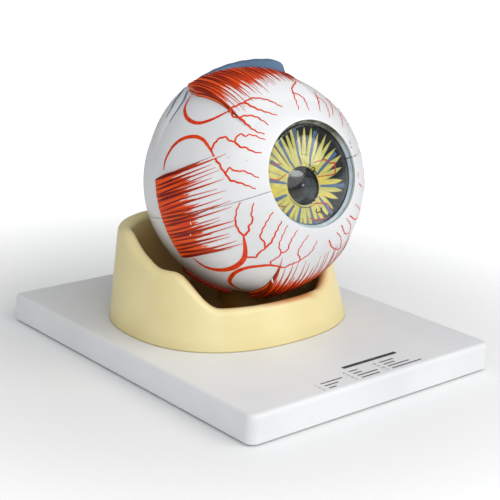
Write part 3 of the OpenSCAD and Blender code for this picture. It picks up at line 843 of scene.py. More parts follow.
def strip_finish(name, dark, pale, bright):
    """A tendon or muscle painted with long soft brush marks."""
    finish = Finish(name, Coat_Weight=0.15, Coat_Roughness=0.3, Roughness=0.42, Specular_IOR_Level=0.3)
    brush = finish.noise(finish.uv(scale=(2, 14, 1)), 1, 2, 0.5)
    colour = finish.mix(finish.ramp(brush, 0.3, 0.65), dark, pale)
    colour = finish.mix(finish.ramp(brush, 0.62, 0.8) * 0.35, colour, bright)
    finish.set(Base_Color=colour, Normal=finish.bump(brush, 0.4, 0.2))
    return finish


TENDON_W = 16


def tendon_edge(across, back=0.0):
    """The tendon's front edge follows the slanting back end of the upper muscle."""
    return (across, 2.6 - 35 * (across + 25) / 54 + back)


tendon = Band([tendon_edge(-18, TENDON_W), (30, tendon_edge(27, TENDON_W)[1]), tendon_edge(27), tendon_edge(-24)],
              3.6, 8.2, UPWARD)
OBLIQUE_TURN = (Matrix.Rotation(math.radians(163), 3, "Z") @ Matrix.Rotation(math.radians(136), 3, "Y"))
oblique = Band([(-16, -2), (16, 3), (16, -10), (-16, -15)], 2.9, 2.9, OBLIQUE_TURN)

bm = bmesh.new()
slab(bm, tendon, 64, 24, 1.6)
tendon_blue = strip_finish("tendon blue", srgb(84, 116, 150), srgb(102, 134, 168), srgb(132, 158, 186))
add_piece("superior_oblique_tendon_slab", bm, EYE, tendon_blue, "eye_upper",
          "superior_oblique_tendon", 50)

bm = bmesh.new()
slab(bm, oblique, 48, 20)
slanted_red = strip_finish("muscle red, slanted", MAROON, srgb(164, 40, 4), FIBRE_RED)
add_piece("inferior_oblique_strip", bm, EYE, slanted_red, "eye_lower", "inferior_oblique", 50)

# %% Tail of the tendon
TAIL_FROM, TAIL_TO, TAIL_RISE = 11, 62, 3.75
TAIL_MIDDLE, TAIL_HALF_START, TAIL_HALF_END, TAIL_SUNK = 15, 18, 9, 0.15


def tail_half(share):
    """Half the tail's breadth, by the share of its length from the upper muscle."""
    return TAIL_HALF_START + (TAIL_HALF_END - TAIL_HALF_START) * share


def tail_rise(spot):
    """Height of the tendon's white tail over the ball: thick by the upper muscle, out to nothing down the side."""
    turn = math.degrees(math.atan2(-spot.x, spot.z))
    share = (turn - TAIL_FROM) / (TAIL_TO - TAIL_FROM)
    if not 0 <= share <= 1:
        return 0
    off = min(1, abs(spot.y - TAIL_MIDDLE) / tail_half(share))
    return TAIL_RISE * (1 - share) * (1 - off**2) ** 0.8


bm = bmesh.new()
bmesh.ops.create_grid(bm, x_segments=60, y_segments=40, size=0.5)
for vert in bm.verts:
    share = vert.co.x + 0.5
    turn = math.radians(TAIL_FROM + (TAIL_TO - TAIL_FROM) * share)
    aside = TAIL_MIDDLE + tail_half(share) * vert.co.y * 2
    out = math.sqrt(SCLERA_R**2 - aside**2)
    spot = Vector((-out * math.sin(turn), aside, out * math.cos(turn)))
    vert.co = spot.normalized() * (SCLERA_R - TAIL_SUNK + tail_rise(spot))
add_piece("superior_oblique_tendon_tail", bm, EYE, sclera_white, "eye_upper", smooth_angle=60)

# %% [markdown]
# ## Brush strokes
#
# Every painted line on the ball is a brush stroke: it follows the surface, stands a fraction of a
# millimetre proud and tapers at its ends. One helper lays a narrow grid along a path. Modelled strokes
# stay crisp from near and far, which a texture this size would not, and they ride on the half they lie on.

# %% Stroke helper
PAINT_PROUD = 0.14


def skin_radius(spot):
    """Distance of the ball's surface from its centre in a spot's direction, muscles included."""
    reach = SCLERA_R + tail_rise(spot)
    for muscle in MUSCLES.values():
        local = muscle.frame_of.transposed() @ spot
        if local.z < 0:
            continue
        along = local.y
        left, right = muscle.left(0.5), muscle.right(0.5)
        u = (local.x - left) / (right - left)
        if 0 <= u <= 1 and muscle.tip < along < muscle.back(u):
            reach = max(reach, muscle.skin(along))
    return reach


def smooth_path(spots, step=0.9):
    """A rounded path through spots, with a spot every step or so. Each stretch heads for its neighbours."""
    ends = [spots[0] * 2 - spots[1]] + list(spots) + [spots[-1] * 2 - spots[-2]]
    path = []
    for before, here, there, after in zip(ends, ends[1:], ends[2:], ends[3:]):
        count = max(2, round((there - here).length / step))
        for index in range(count):
            t = index / count
            path.append(0.5 * (2 * here + (there - before) * t
                               + (2 * before - 5 * here + 4 * there - after) * t**2
                               + (3 * here - before - 3 * there + after) * t**3))
    return path + [spots[-1]]


def stroke(bm, path, width, outward, proud=PAINT_PROUD, onto=None, edge=0.35):
    """Lays a brush stroke along a path. The width is half its breadth, by the share of the way gone."""
    uv = bm.loops.layers.uv.verify()
    last = len(path) - 1
    grid = bmesh.ops.create_grid(bm, x_segments=2, y_segments=last, size=0.5)["verts"]
    for vert in grid:
        for loop in vert.link_loops:
            loop[uv].uv = (vert.co.x + 0.5, vert.co.y + 0.5)
    for vert in grid:
        side, share = vert.co.x * 2, vert.co.y + 0.5
        index = min(last, max(0, round(share * last)))
        here = path[index]
        ahead = (path[min(last, index + 1)] - path[max(0, index - 1)]).normalized()
        out = outward(here)
        across = ahead.cross(out).normalized()
        spot = here + across * side * width(share)
        vert.co = (onto(spot) if onto else spot) + out * (proud if abs(side) < 0.5 else proud * edge)


def away(spot):
    """On the ball, outward is away from its centre."""
    return spot.normalized()


def taper(least, most, peak=0.45):
    """A stroke that swells to its most at a share of its way."""
    def width(share):
        rise_part = share / peak if share < peak else (1 - share) / (1 - peak)
        return least + (most - least) * math.sin(math.pi / 2 * max(0, rise_part))
    return width


def fading(start, end):
    """A stroke that thins evenly from its start to its end."""
    return lambda share: start + (end - start) * share**1.3


def on_skin(spots, wobble=0.0):
    """A path laid on the ball's surface, with a small wobble if asked, as of a hand with a thin brush."""
    path = smooth_path(spots)
    laid = []
    for index, spot in enumerate(path):
        ahead = path[min(len(path) - 1, index + 1)] - path[max(0, index - 1)]
        aside = ahead.cross(spot).normalized() * wobble * math.sin(index * 1.25) * min(1, index / 4)
        laid.append((spot + aside).normalized() * skin_radius(spot))
    return laid


print("a stroke is", 2 * PAINT_PROUD, "mm thick at most")

# %% [markdown]
# ## Fibre strokes of the muscles
#
# Dark red strokes run along each muscle, a little uneven, and most run on past the raised part as fine
# points over the white. They are laid by a loop with a fixed seed, so each run paints the same picture.

# %% Fibre strokes
def split_strokes(name, bm, finish):
    """Cuts strokes at the seam and lets each half ride on its own half of the ball."""
    for half, sign in (("lower", -1), ("upper", 1)):
        side = bm.copy()
        bmesh.ops.bisect_plane(side, geom=side.verts[:] + side.edges[:] + side.faces[:],
                               plane_co=(0, 0, sign * (SEAM_HALF + NEARLY)), plane_no=(0, 0, sign), clear_inner=True)
        if side.faces:
            add_piece(f"{name}_{half}", side, EYE, finish, "eye_" + half, smooth_angle=60)
    bm.free()


def fibre_stroke_finish():
    """Dark red brush paint: maroon at the back, thinner and redder towards the tip."""
    finish = Finish("fibre strokes", Roughness=0.45, Coat_Weight=0.1, Specular_IOR_Level=0.25)
    side, along, _ = finish.axes(finish.uv())
    thin = finish.noise(finish.uv(scale=(3, 9, 1)), 1, 2)
    core = finish.mix(finish.ramp(along + (thin - 0.5) * 0.3, 0.3, 1.0), srgb(112, 12, 0), srgb(220, 70, 16))
    rim = finish.ramp(finish.off_middle(side), 0.3, 0.5)
    finish.set(Base_Color=finish.mix(rim * 0.6, core, srgb(214, 56, 4)))
    return finish


fibre_paint = fibre_stroke_finish()
FIBRES = {"superior_rectus": (26, 0.62), "inferior_rectus": (16, 0.85), "lateral_rectus": (20, 0.85),
          "medial_rectus": (20, 0.85)}
UPPER_REACH, UPPER_FALL = 0.86, 0.34
FIBRE_STEPS, FIBRE_START, SIDE_LEAST = 25, 0.015, 0.015
brush = random.Random(41)
for name, muscle in MUSCLES.items():
    bm = bmesh.new()
    count, half_width = FIBRES[name]
    for index in range(count):
        u = min(0.975, max(0.025, (index + 0.5 + brush.uniform(-0.3, 0.3)) / count))
        reach = UPPER_REACH - UPPER_FALL * ease((u - 0.3) / 0.65) if name == "superior_rectus" else 1.0
        reach *= brush.uniform(0.84, 1.02)
        sway, phase = brush.uniform(-0.35, 0.35) / count, brush.uniform(0, 6)
        spots = []
        for step in range(FIBRE_STEPS + 1):
            v = FIBRE_START + (reach - FIBRE_START) * step / FIBRE_STEPS
            across = min(1 - SIDE_LEAST, max(SIDE_LEAST, u + sway * math.sin(phase + 4 * v)))
            spots.append(muscle.at(across, v, 0.02))
        most = half_width * (1.4 if index in (0, count - 1) else brush.uniform(0.6, 1.2))
        stroke(bm, spots, taper(0.08, most, brush.uniform(0.12, 0.4)), away)
    split_strokes(name + "_fibres", bm, fibre_paint)

# %% [markdown]
# ## Arteries
#
# The arteries were read off the photograph, as pixels along each line, and are followed back to
# the ball. Loops swell in the middle and thin out at their ends; branches start thin and fade. What the
# photograph can't show is mirrored and turned back on to the far side, as the real model carries vessels
# all round.

# %% Artery lines, in pixels of the photograph
LOOPS = {
    "upper loop": [(190.6, 96.4), (184.8, 108), (187.3, 118), (197.2, 123), (211.3, 119.7), (227.9, 111.7)],
    "side loop above": [(163.7, 170.2), (165.7, 159.5), (173.2, 146.2), (183, 138.7), (194, 136.6), (203, 139.6),
                        (210.5, 149.5), (213, 154.5)],
    "side loop below": [(193, 258), (206, 267), (221, 270), (234.5, 267), (243.6, 259), (245.3, 249), (243.6, 236)],
    "lower loop": [(244.5, 290.5), (233, 285.5), (229.6, 280.5), (234.5, 273), (246, 268), (259.4, 266), (271, 265.3),
                   (284.3, 267)],
}
BRANCHES = {
    "upper fork": [(227.9, 111.7), (243.6, 104), (252.8, 99.4), (267.7, 100.6), (282.6, 107.2)],
    "upper fork, second": [(244, 103.6), (246, 104.4), (256, 109), (266, 112), (277.3, 115.5)],
    "upper twig": [(229, 111), (231, 112), (233, 116.3), (239.5, 118), (246, 116.3), (256, 117), (268.5, 124.6)],
    "upper twig, second": [(239.5, 118), (247.8, 125.5), (256, 131.3), (264.7, 134.2)],
    "side fork": [(211.3, 149.5), (217, 140.4), (224.6, 137), (230.4, 141), (234.2, 141), (239.5, 134.2), (246, 136.2),
                  (251, 134.6), (265.2, 140)],
    "side fork, second": [(234.2, 141), (239.5, 146.5), (246, 147.8), (252.8, 151.5), (261.6, 153.2)],
    "side stem": [(213, 154.5), (216.3, 160.3), (219.6, 164.4), (224.6, 172.4), (229.6, 168), (235.4, 171),
                  (244.5, 171.4), (259, 178)],
    "side stem, second": [(224.6, 172.4), (230.4, 180), (239.5, 182.7), (255.8, 188.8)],
    "lower side twig": [(243.6, 236), (237.8, 229), (235.4, 221), (237, 209), (240.7, 202.6)],
    "lower side twig, second": [(243.6, 236), (248.4, 231.4), (249, 226), (252.8, 220.5), (251.4, 214),
                                (253.6, 202.6)],
    "lower side arm": [(246, 257), (256, 257), (258.6, 253), (265, 248), (263.5, 240.7), (260, 237.4), (264.4, 226),
                       (273, 211.7)],
    "lower side arm, second": [(265, 248), (271, 242.4), (276, 232.4), (281.8, 221)],
    "lower arm": [(284.3, 267), (291, 264), (300, 260.3), (298, 252.3), (303.3, 242.4), (309, 235)],
    "lower arm, second": [(300, 260.3), (310.8, 252.3), (317.4, 240)],
    "lower twig": [(271, 265.3), (271, 261.4), (277.6, 257.3), (281, 252.7), (279, 245.7), (282.6, 235.7),
                   (287.6, 225)],
    "lower twig, second": [(281, 252.7), (286.8, 250.7), (291, 240.7), (297.5, 230)],
    "right hairpin": [(329, 240), (331.5, 246.5), (335.7, 249), (339.8, 247.3), (340.7, 237.4), (336.5, 232.4)],
    "right hairpin, second": [(341.5, 225), (344.8, 233.3), (349, 232.4), (350.6, 225.8), (346.5, 218.3)],
    "right hairpin, third": [(349.8, 215.8), (355.6, 219.2), (359.7, 212.5), (355.3, 204.2)],
    "right tick": [(358, 172), (358.6, 178)],
    "right tick, second": [(359, 183.5), (362, 187.3)],
    "top hairpin": [(295, 84), (291.7, 89), (292.6, 93), (296.7, 103), (299, 109.7)],
    "top twig": [(292.6, 93), (303, 98), (309, 110.5)],
    "top twig, second": [(314, 92), (316.6, 96.4), (320, 111.4)],
    "top twig, third": [(316.6, 96.4), (325, 103), (330, 118)],
    "top twig, fourth": [(325, 98), (330, 103), (333, 116)],
    "top twig, fifth": [(339, 112), (342.7, 127)],
}
FAR_SIDE = ("side loop above", "side loop below", "side fork", "side fork, second", "side stem, second",
            "lower side twig", "lower side twig, second", "lower side arm", "lower side arm, second")
FAR_TURN = Matrix.Rotation(math.radians(22), 3, "Z")
print(len(LOOPS), "loops and", len(BRANCHES), "branches")

# %% Arteries
def artery_finish():
    """Orange-red brush paint, thicker and darker in the middle of a stroke."""
    finish = Finish("artery red", Roughness=0.4, Coat_Weight=0.1, Specular_IOR_Level=0.25)
    load = finish.patches(finish.place(), 320, 3, 0.35, 0.65)
    finish.set(Base_Color=finish.mix(load, srgb(212, 46, 0), srgb(236, 70, 6)))
    return finish


LOOPS_MOST = {"side loop below": 1.9, "lower loop": 1.45}
WISPS = ("top", "right", "lower arm", "lower twig")


def swelling(least, most):
    """A stroke that is thin at both ends and evenly broad along its middle."""
    return lambda share: least + (most - least) * math.sin(math.pi * share) ** 0.7


bm = bmesh.new()
for name, pixels in {**LOOPS, **BRANCHES}.items():
    spots = [on_ball(pixel) for pixel in pixels]
    width = swelling(0.4, LOOPS_MOST.get(name, 1.25)) if name in LOOPS else fading(0.68, 0.32)
    if name.startswith(WISPS):
        width = fading(0.5, 0.25)
    lines = [spots]
    if name in FAR_SIDE:
        lines.append([FAR_TURN @ Vector((-spot.x, spot.y, spot.z)) for spot in spots])
    for line in lines:
        stroke(bm, on_skin(line, 0.0 if name in LOOPS else 0.25), width, away, PAINT_PROUD + 0.06)
split_strokes("arteries", bm, artery_finish())

# %% Veins by the tendon and marks of wear, in pixels of the photograph
VEINS = [[(188, 90.5), (184, 96), (181, 100), (178, 104), (175.6, 108), (172.2, 112.5), (170, 116), (167.5, 120.5)],
         [(187.5, 88), (180, 96), (176, 100.5), (173.6, 104), (170.5, 109), (167.5, 113.5), (165.5, 117)],
         [(186, 87.5), (176.4, 95.8), (172.6, 100), (169, 105)]]
DARK_MARKS = [[(350.2, 147), (351.6, 147.6)], [(353, 156.6), (356.2, 155.2)], [(349.5, 140.5), (350.3, 144.5)]]
WHITE_CHIPS = [[(192.2, 220.5), (192.9, 223.5)], [(192.2, 232.4), (192.9, 233.8)], [(271.5, 277), (272.6, 280)]]
MARKS = (("tendon_veins", VEINS, taper(0.3, 0.8, 0.3), srgb(74, 112, 152), srgb(104, 138, 172)),
         ("dark_marks", DARK_MARKS, taper(0.15, 0.4), srgb(60, 60, 62), srgb(96, 96, 96)),
         ("white_chips", WHITE_CHIPS, taper(0.2, 0.55), srgb(226, 224, 218), srgb(206, 202, 194)))


def ink_finish(name, colour, wear):
    """Thin paint or ink, a little uneven."""
    finish = Finish(name, Roughness=0.5, Specular_IOR_Level=0.3)
    thin = finish.patches(finish.place(), 700, 3, 0.45, 0.75)
    finish.set(Base_Color=finish.mix(thin * 0.6, colour, wear))
    return finish


for name, lines, width, colour, wear in MARKS:
    bm = bmesh.new()
    for line in lines:
        radius = SCLERA_R + (TAIL_RISE / 2 if name == "tendon_veins" else 0)
        stroke(bm, on_skin([on_ball(pixel, radius) for pixel in line]), width, away, 0.3, edge=0.7)
    split_strokes(name, bm, ink_finish(name.replace("_", " "), colour, wear))

# %% [markdown]
# ## The iris
#
# The iris is a painted shallow dish with an off-centre hole for the pupil: flat in the middle, rising to the
# rim. It is lofted: a ring of edges at the hole is extruded outwards in rows until it meets the rim, so the
# map runs round and across. Twelve blue strokes divide it, and yellow petals fill the spaces between. The
# petals touch near the pupil; at the top and on the right they run out to points over the black ground, and on
# the left they stay broad up to the rim. Fine red vessels and two plain numbers lie on top.

# %% Iris dish
IRIS_BACK, IRIS_FLOOR, IRIS_RIM_F, IRIS_R = 51.93, 53.93, 58.13, 31.05
IRIS_FLAT_R, IRIS_EDGE = 13, 0.75
PUPIL_R = 12
PUPIL_CENTRE = Vector((-3, -6))
IRIS_LIP = IRIS_R - IRIS_EDGE
IRIS_WIDE = IRIS_LIP - IRIS_FLAT_R
IRIS_SLOPE = (IRIS_RIM_F - IRIS_FLOOR) / IRIS_WIDE


def heading(angle):
    """A direction in the dish's plane."""
    return Vector(turned(angle))


def angle_of(flat):
    """The angle in degrees of a spot in the dish's plane."""
    return math.degrees(math.atan2(flat.y, flat.x))


def on_dish(spot, proud=0.0):
    """Lays a spot on the dish's front."""
    climb = min(max(spot.xy.length - IRIS_FLAT_R, 0), IRIS_WIDE)
    return Vector((spot.x, spot.y, IRIS_FLOOR + IRIS_SLOPE * climb + proud))


def off_dish(spot):
    """Outward on the dish is along the gaze."""
    return Vector((0, 0, 1))


def pixel_on_dish(pixel):
    """Where a pixel's ray meets the dish, kept inside its rim."""
    forward = IRIS_FLOOR
    for _ in range(8):
        spot = on_disc(pixel, forward)
        forward = on_dish(spot).z
    if spot.xy.length > IRIS_LIP:
        spot = (spot.xy.normalized() * IRIS_LIP).to_3d()
    return on_dish(spot)


def dish_section(angle):
    """From the hole's lower edge over a small rounding, across the front and round the rim."""
    inner = PUPIL_CENTRE + heading(angle) * PUPIL_R
    soft = PUPIL_CENTRE + heading(angle) * (PUPIL_R + 0.5)
    outer = heading(angle) * IRIS_LIP
    spots = [inner.to_3d() + Vector((0, 0, IRIS_BACK)), on_dish(inner, -0.6)]
    spots += [on_dish(soft.lerp(outer, step / 12)) for step in range(13)]
    rim = heading(angle) * IRIS_R
    return spots + [on_dish(rim), rim.to_3d() + Vector((0, 0, IRIS_BACK))]


def black_paint_finish():
    """Matt black paint with blue-grey brush marks that run outwards, more of them on the left."""
    finish = Finish("iris black", Roughness=0.5, Specular_IOR_Level=0.3)
    marks = finish.noise(finish.uv(scale=(70, 1.2, 1)), 1, 3)
    left = finish.hill(finish.axes(finish.uv())[0], 0.3, 0.42, 0.72, 0.84)
    cover = finish.ramp(marks + left * 0.35, 0.5, 0.8)
    blue_grey = finish.mix(left, srgb(58, 62, 70), srgb(120, 138, 150))
    finish.set(Base_Color=finish.mix(cover, srgb(22, 22, 24), blue_grey),
               Normal=finish.bump(marks, 0.3, 0.15))
    return finish


bm = bmesh.new()
loft(bm, 120, dish_section, closed=True)
add_piece("iris_disc", bm, GAZE, black_paint_finish(), "iris", "iris", 35)

# %% Iris lines, in pixels of the photograph
# Blue strokes go clockwise from the top: each one's ends at the pupil and at the rim, then how many petals
# follow it, and how far those run out to a point.
BLUE_STROKES = [((301.4, 165), (294, 129), 3, 0.9), ((309.6, 167), (315, 131), 4, 1.0),
                ((316.7, 175), (335.5, 153), 3, 1.0), ((318.6, 186), (344.5, 185.4), 3, 0.95),
                ((317.2, 195), (331.5, 213.5), 3, 0.6), ((309.4, 205), (314.3, 227), 3, 0.35),
                ((300.6, 206.8), (297.4, 223.5), 2, 0.25), ((294, 205.2), (286.7, 216), 3, 0.25),
                ((287, 195), (276, 200), 1, 0.0), ((286.2, 183.4), (270, 180.7), 2, 0.0),
                ((289.2, 173.2), (270.5, 161.5), 3, 0.15), ((294.4, 168), (278.5, 140), 3, 0.65)]
IRIS_VESSELS = [[(312.6, 163), (324, 159.8), (329.5, 163), (335, 163), (334.3, 166.3), (335, 172.7), (330.3, 175),
                 (317.5, 176.7)],
                [(313.4, 203.6), (320, 203.2), (327, 204), (332.7, 211.3)],
                [(308.6, 217.7), (313.4, 219.7), (321.5, 219.3), (328, 217)],
                [(269.5, 178.3), (277.3, 180), (286, 174.3)], [(270, 164), (281, 164.3)],
                [(280.5, 206.5), (285.3, 206.5)]]
IRIS_NUMBERS = [[(310.6, 168.8), (313.2, 167.4), (314.8, 169.2), (312.6, 171), (315.4, 171.8), (316.2, 174.2),
                 (313.6, 175.6)],
                [(316.4, 208.4), (316, 211.6), (318, 212.6), (320.4, 210.6)],
                [(321, 206.8), (321.2, 210), (320.2, 214)]]
print(len(BLUE_STROKES), "blue strokes with", sum(line[2] for line in BLUE_STROKES), "petals between them")

# %% Iris paint
def petal_finish():
    """Yellow paint with greenish and pale streaks along the petal, warmer towards the lower left."""
    finish = Finish("petal yellow", Roughness=0.4, Coat_Weight=0.2)
    side, along, _ = finish.axes(finish.uv())
    spot = finish.place()
    streak = finish.noise(finish.uv(scale=(6, 1.2, 1)), 1, 3, 0.6)
    patch = finish.noise(spot, 130, 2)
    yellow = finish.mix(finish.ramp(streak + (patch - 0.5) * 0.4, 0.38, 0.62), srgb(190, 182, 84), srgb(226, 212, 112))
    yellow = finish.mix(finish.ramp(streak, 0.6, 0.74) * 0.5, yellow, srgb(240, 230, 164))
    low = finish.ramp(finish.axes(spot)[2], 0.118, 0.135, 1.0, 0.0)
    yellow = finish.mix(low * finish.ramp(patch, 0.4, 0.65) * 0.7, yellow, srgb(228, 196, 44))
    rim = finish.ramp(finish.off_middle(side), 0.32, 0.48)
    yellow = finish.mix(rim * finish.ramp(along, 0.1, 0.5) * 0.85, yellow, srgb(92, 104, 84))
    finish.set(Base_Color=yellow, Normal=finish.bump(streak, 0.3, 0.12))
    return finish


def stroke_finish(name, first, second):
    """Streaky paint between two colours."""
    finish = Finish(name, Roughness=0.4, Coat_Weight=0.2)
    streaks = finish.patches(finish.uv(scale=(4, 3, 1)), 1, 3, 0.35, 0.65)
    finish.set(Base_Color=finish.mix(streaks, first, second))
    return finish


def disc_path(start, end, count=14, bow=0.0):
    """A path on the iris from near the pupil to near the rim, slightly bowed."""
    side = Vector((-(end - start).y, (end - start).x)) * bow
    steps = [step / count for step in range(count + 1)]
    return [on_dish(start.lerp(end, share) + side * math.sin(math.pi * share)) for share in steps]


def petal_width(base, tip, pointed):
    """Half the breadth of a petal, from its base to its tip, which runs out to a point as far as asked."""
    def width(share):
        point = 1 - pointed * max(0, (share - 0.3) / 0.7) ** 1.4
        return max(0.08, (base + (tip - base) * share) * point)
    return width


def turn_between(first, second):
    """From one angle to another the short way round."""
    return (second - first + 180) % 360 - 180


def add_iris_paint(name, bm, finish):
    """A painted layer on the iris."""
    add_piece(name, bm, GAZE, finish, "iris", smooth_angle=60)


def pupil_ring(off, start, end):
    """A path beside the pupil's edge, between two angles."""
    return [on_dish(PUPIL_CENTRE + heading(angle) * (PUPIL_R + off)) for angle in range(start, end, 4)]


def add_lines(bm, lines, width, proud, edge):
    """Fine strokes on the dish along lines of pixels."""
    for line in lines:
        spots = [pixel_on_dish(pixel) for pixel in line]
        stroke(bm, smooth_path(spots, 0.7), width, off_dish, proud, on_dish, edge)


blue_lines = [(pixel_on_dish(inner).xy, pixel_on_dish(outer).xy) for inner, outer, _, _ in BLUE_STROKES]
petal_brush = random.Random(7)
bm = bmesh.new()
for index, (inner, outer) in enumerate(blue_lines):
    next_inner, next_outer = blue_lines[(index + 1) % len(blue_lines)]
    count, pointed = BLUE_STROKES[index][2:]
    first_in, first_out = angle_of(inner - PUPIL_CENTRE), angle_of(outer)
    span_in = turn_between(first_in, angle_of(next_inner - PUPIL_CENTRE))
    span_out = turn_between(first_out, angle_of(next_outer))
    for number in range(count):
        share = (number + 0.5 + petal_brush.uniform(-0.1, 0.1)) / count
        start = PUPIL_CENTRE + heading(first_in + span_in * share) * (PUPIL_R + 0.25)
        reach = petal_brush.uniform(0.9, 0.99) if pointed > 0.5 else 0.995
        end = heading(first_out + span_out * share) * IRIS_LIP * reach
        base = PUPIL_R * math.radians(abs(span_in)) / count / 2 * 1.12
        tip = IRIS_R * math.radians(abs(span_out)) / count / 2
        path = disc_path(start, end, 16, petal_brush.uniform(-0.02, 0.02))
        stroke(bm, path, petal_width(base, tip, pointed), off_dish, 0.1, on_dish)
stroke(bm, pupil_ring(0.75, 196, 345), lambda share: 0.45, off_dish, 0.36, on_dish, 0.8)
add_iris_paint("iris_petals", bm, petal_finish())

bm = bmesh.new()
for inner, outer in blue_lines:
    stroke(bm, disc_path(inner, outer), lambda share: 0.6 + 0.7 * share, off_dish, 0.3, on_dish, 0.8)
add_iris_paint("iris_blue_strokes", bm, stroke_finish("iris blue", srgb(50, 80, 122), srgb(84, 118, 156)))

bm = bmesh.new()
add_lines(bm, IRIS_VESSELS, taper(0.22, 0.44), 0.42, 0.8)
add_iris_paint("iris_red_vessels", bm, stroke_finish("iris vessel red", srgb(168, 34, 26), srgb(200, 52, 40)))

bm = bmesh.new()
stroke(bm, pupil_ring(1.5, 190, 300), taper(0.08, 0.22), off_dish, 0.36, on_dish, 0.8)
add_lines(bm, IRIS_NUMBERS, taper(0.22, 0.38), 0.5, 0.9)
add_iris_paint("iris_lines_and_numbers", bm, ink_finish("iris ink", srgb(26, 26, 24), srgb(66, 64, 52)))

# %% [markdown]
# ## The cornea
#
# The cornea is a thin clear dome. Its section is two arcs joined at a flat rim, spun round the gaze. Real
# clear plastic shows what lies behind it and mirrors the light more towards its edge, so a mirror is mixed
# over a see-through shader. Light still falls through it on to the iris.

# %% Cornea
CORNEA_R, CORNEA_WALL, CORNEA_CENTRE = 50, 1.8, 22.22
CORNEA_EDGE_F = 60.13
RIM_LINE = 0.75


def dome_arc(radius):
    """From the rim's height up to the apex, as (radius, forward) spots."""
    start = math.degrees(math.acos((CORNEA_EDGE_F - CORNEA_CENTRE) / radius))
    return arc(radius, start, 0, 26, CORNEA_CENTRE)


def clear_finish(name, tint, share, gain, roughness=0.03, scuffs=0.02):
    """Clear plastic: see-through, with a mirror that grows towards grazing sight, and a few fine scratches."""
    finish = Finish(name)
    finish.tree.nodes.remove(finish.shader)
    scuff = finish.ramp(finish.noise(finish.place(scale=(1, 1, 6)), 210, 3, 0.6), 0.7, 0.85)
    mirror = finish.node("BsdfGlossy", {}, {"Color": (1, 1, 1, 1), "Roughness": scuff * 0.2 + roughness})
    through = finish.node("BsdfTransparent", {}, {"Color": tint})
    facing = finish.node("LayerWeight", {}, {"Blend": 0.5}, output="Facing")
    factor = finish.maths("POWER", facing, 4.0) * gain + share
    shown = finish.node("MixShader", {}, {0: factor + scuff * scuffs, 1: through, 2: mirror})
    finish.plug(finish.tree.nodes["Material Output"].inputs["Surface"], shown)
    return finish


outer, inner = dome_arc(CORNEA_R), dome_arc(CORNEA_R - CORNEA_WALL)
rim_spot = (inner[0][0] + RIM_LINE, CORNEA_EDGE_F)
bm = bmesh.new()
lathe(bm, outer + inner[::-1] + [rim_spot], 128)
bmesh.ops.bridge_loops(bm, edges=[edge for edge in bm.edges if edge.is_boundary])
bmesh.ops.recalc_face_normals(bm, faces=bm.faces)
cornea_clear = clear_finish("cornea clear", (0.98, 0.99, 0.995, 1), 0.028, 0.5)
add_piece("cornea_dome", bm, GAZE, cornea_clear, "cornea", "cornea")

# %% [markdown]
# ## Numbers on the board
#
# A small key lies on the near part of the board. Here it is plain numbers from 1 to 11 in three columns, each
# with a thin bar, under one thicker bar. The numbers are font curves turned into flat faces, and the bars are
# strokes. They stand a hair above the board, as ink would.

# %% Board numbers
KEY_COLUMNS = ((-43, -114.4, (17.6, 11, 6)), (-15.5, -110.4, (7, 7, 17, 15)), (10.7, -110.4, (12, 9.5, 18.5, 26)))
KEY_STEP, KEY_NUMBER, KEY_BAR, BAR_OFF = -3.6, 3.2, 0.55, 4.3
HEAD_BAR = ((-10.5, -104), (36, -104), 1.5)
INK_PROUD = 0.06


def plain_number(bm, text, place):
    """A number as flat faces on the board, centred on its place."""
    curve = bpy.data.curves.new("number", "FONT")
    curve.body, curve.size, curve.resolution_u = text, KEY_NUMBER, 3
    curve.align_x, curve.align_y = "CENTER", "CENTER"
    holder = bpy.data.objects.new("number", curve)
    flat = holder.to_mesh()
    flat.transform(Matrix.Translation((*place, BOARD_TOP + INK_PROUD)))
    bm.from_mesh(flat)
    holder.to_mesh_clear()
    bpy.data.objects.remove(holder)
    bpy.data.curves.remove(curve)


def plain_bar(bm, start, end, half_width):
    """A flat bar on the board."""
    ends = [Vector((*place, BOARD_TOP + INK_PROUD)) for place in (start, end)]
    path = [ends[0].lerp(ends[1], step / 4) for step in range(5)]
    stroke(bm, path, lambda share: half_width, lambda spot: Vector((0, 0, 1)), 0.01, edge=1)


bm = bmesh.new()
plain_bar(bm, *HEAD_BAR)
number = 0
for left, top, lengths in KEY_COLUMNS:
    for row, length in enumerate(lengths):
        number += 1
        height = top + KEY_STEP * row
        plain_number(bm, str(number), (left, height))
        plain_bar(bm, (left + BAR_OFF, height), (left + BAR_OFF + length, height), KEY_BAR)
add_piece("board_numbers", bm, TO_METRES, ink_finish("board ink", srgb(62, 62, 64), srgb(128, 128, 130)), "stand")

# %% [markdown]
# ## Inner layers
#
# Choroid, retina, vitreous body, lens, ciliary ring and nerve are seen only when the eye is opened. Their
# solids are right, so they stay and get finishes: dark brown with a dense net of vessels for the choroid,
# orange for the retina, smoky clear resin for the lens and the vitreous body.

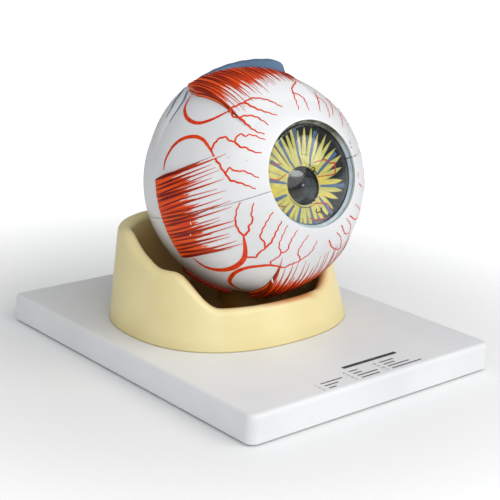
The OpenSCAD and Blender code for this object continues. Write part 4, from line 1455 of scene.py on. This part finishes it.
# %% Inner finishes
def veined_finish(name, ground, shade, vein, scale, roughness):
    """Painted ground with a net of vessels from the cracks between random cells."""
    finish = Finish(name, Coat_Weight=0.2, Coat_Roughness=0.3)
    spot = finish.place()
    bend = finish.node("VectorMath", {"operation": "SCALE"}, {
        0: finish.node("TexNoise", {}, {"Vector": spot, "Scale": 60.0}, output=1), "Scale": 0.006})
    bent = finish.node("VectorMath", {"operation": "ADD"}, {0: spot, 1: bend})
    crack = finish.node("TexVoronoi", {"feature": "DISTANCE_TO_EDGE"}, {"Vector": bent, "Scale": scale})
    net = 1 - finish.ramp(crack, 0.02, 0.09)
    cloud = finish.patches(spot, 40, 3)
    colour = finish.mix(cloud, ground, shade)
    finish.set(Base_Color=finish.mix(net * 0.75, colour, vein), Roughness=cloud * 0.1 + roughness,
               Normal=finish.bump(net * 0.6 + cloud * 0.4, 0.3, 0.2))
    return finish


VEINED = {
    "choroid brown": (((84, 46, 34), (104, 56, 40), (150, 44, 30)), 90.0, 0.42, ("choroid_lower", "choroid_upper")),
    "retina orange": (((226, 142, 84), (214, 120, 66), (206, 98, 54)), 150.0, 0.4, ("retina_lower", "retina_upper")),
    "ciliary brown": (((112, 60, 44), (90, 44, 34), (60, 28, 24)), 200.0, 0.4, ("ciliary_body",))}
for name, (colours, scale, roughness, nodes) in VEINED.items():
    veined = veined_finish(name, *(srgb(*colour) for colour in colours), scale, roughness)
    for node in nodes:
        dress(node_of[node], veined)
dress(node_of["vitreous_body"], clear_finish("vitreous clear", (0.86, 0.9, 0.92, 1), 0.03, 1.0, 0.06))
dress(node_of["lens"], clear_finish("lens clear", (0.66, 0.69, 0.7, 1), 0.13, 1.0, 0.12, 0.16))
print("dressed the choroid, the retina, the ciliary ring, the vitreous body and the lens")

# %% Nerve
def nerve_finish():
    """Painted nerve with fine bundles along it."""
    finish = Finish("nerve core", Coat_Weight=0.25, Roughness=0.42)
    bundle = finish.node("TexVoronoi", {}, {"Vector": finish.place(), "Scale": 620.0})
    finish.set(Base_Color=finish.mix(finish.ramp(bundle, 0.25, 0.55), srgb(206, 160, 78), srgb(232, 200, 120)),
               Normal=finish.bump(bundle, 0.35, 0.2))
    return finish


nerve_sheath = moulded_finish("nerve sheath", srgb(226, 216, 190), srgb(214, 200, 170), grain=0.2)
dress(node_of["optic_nerve_sheath"], nerve_sheath)
dress(node_of["optic_nerve"], nerve_finish())
print("dressed the nerve")
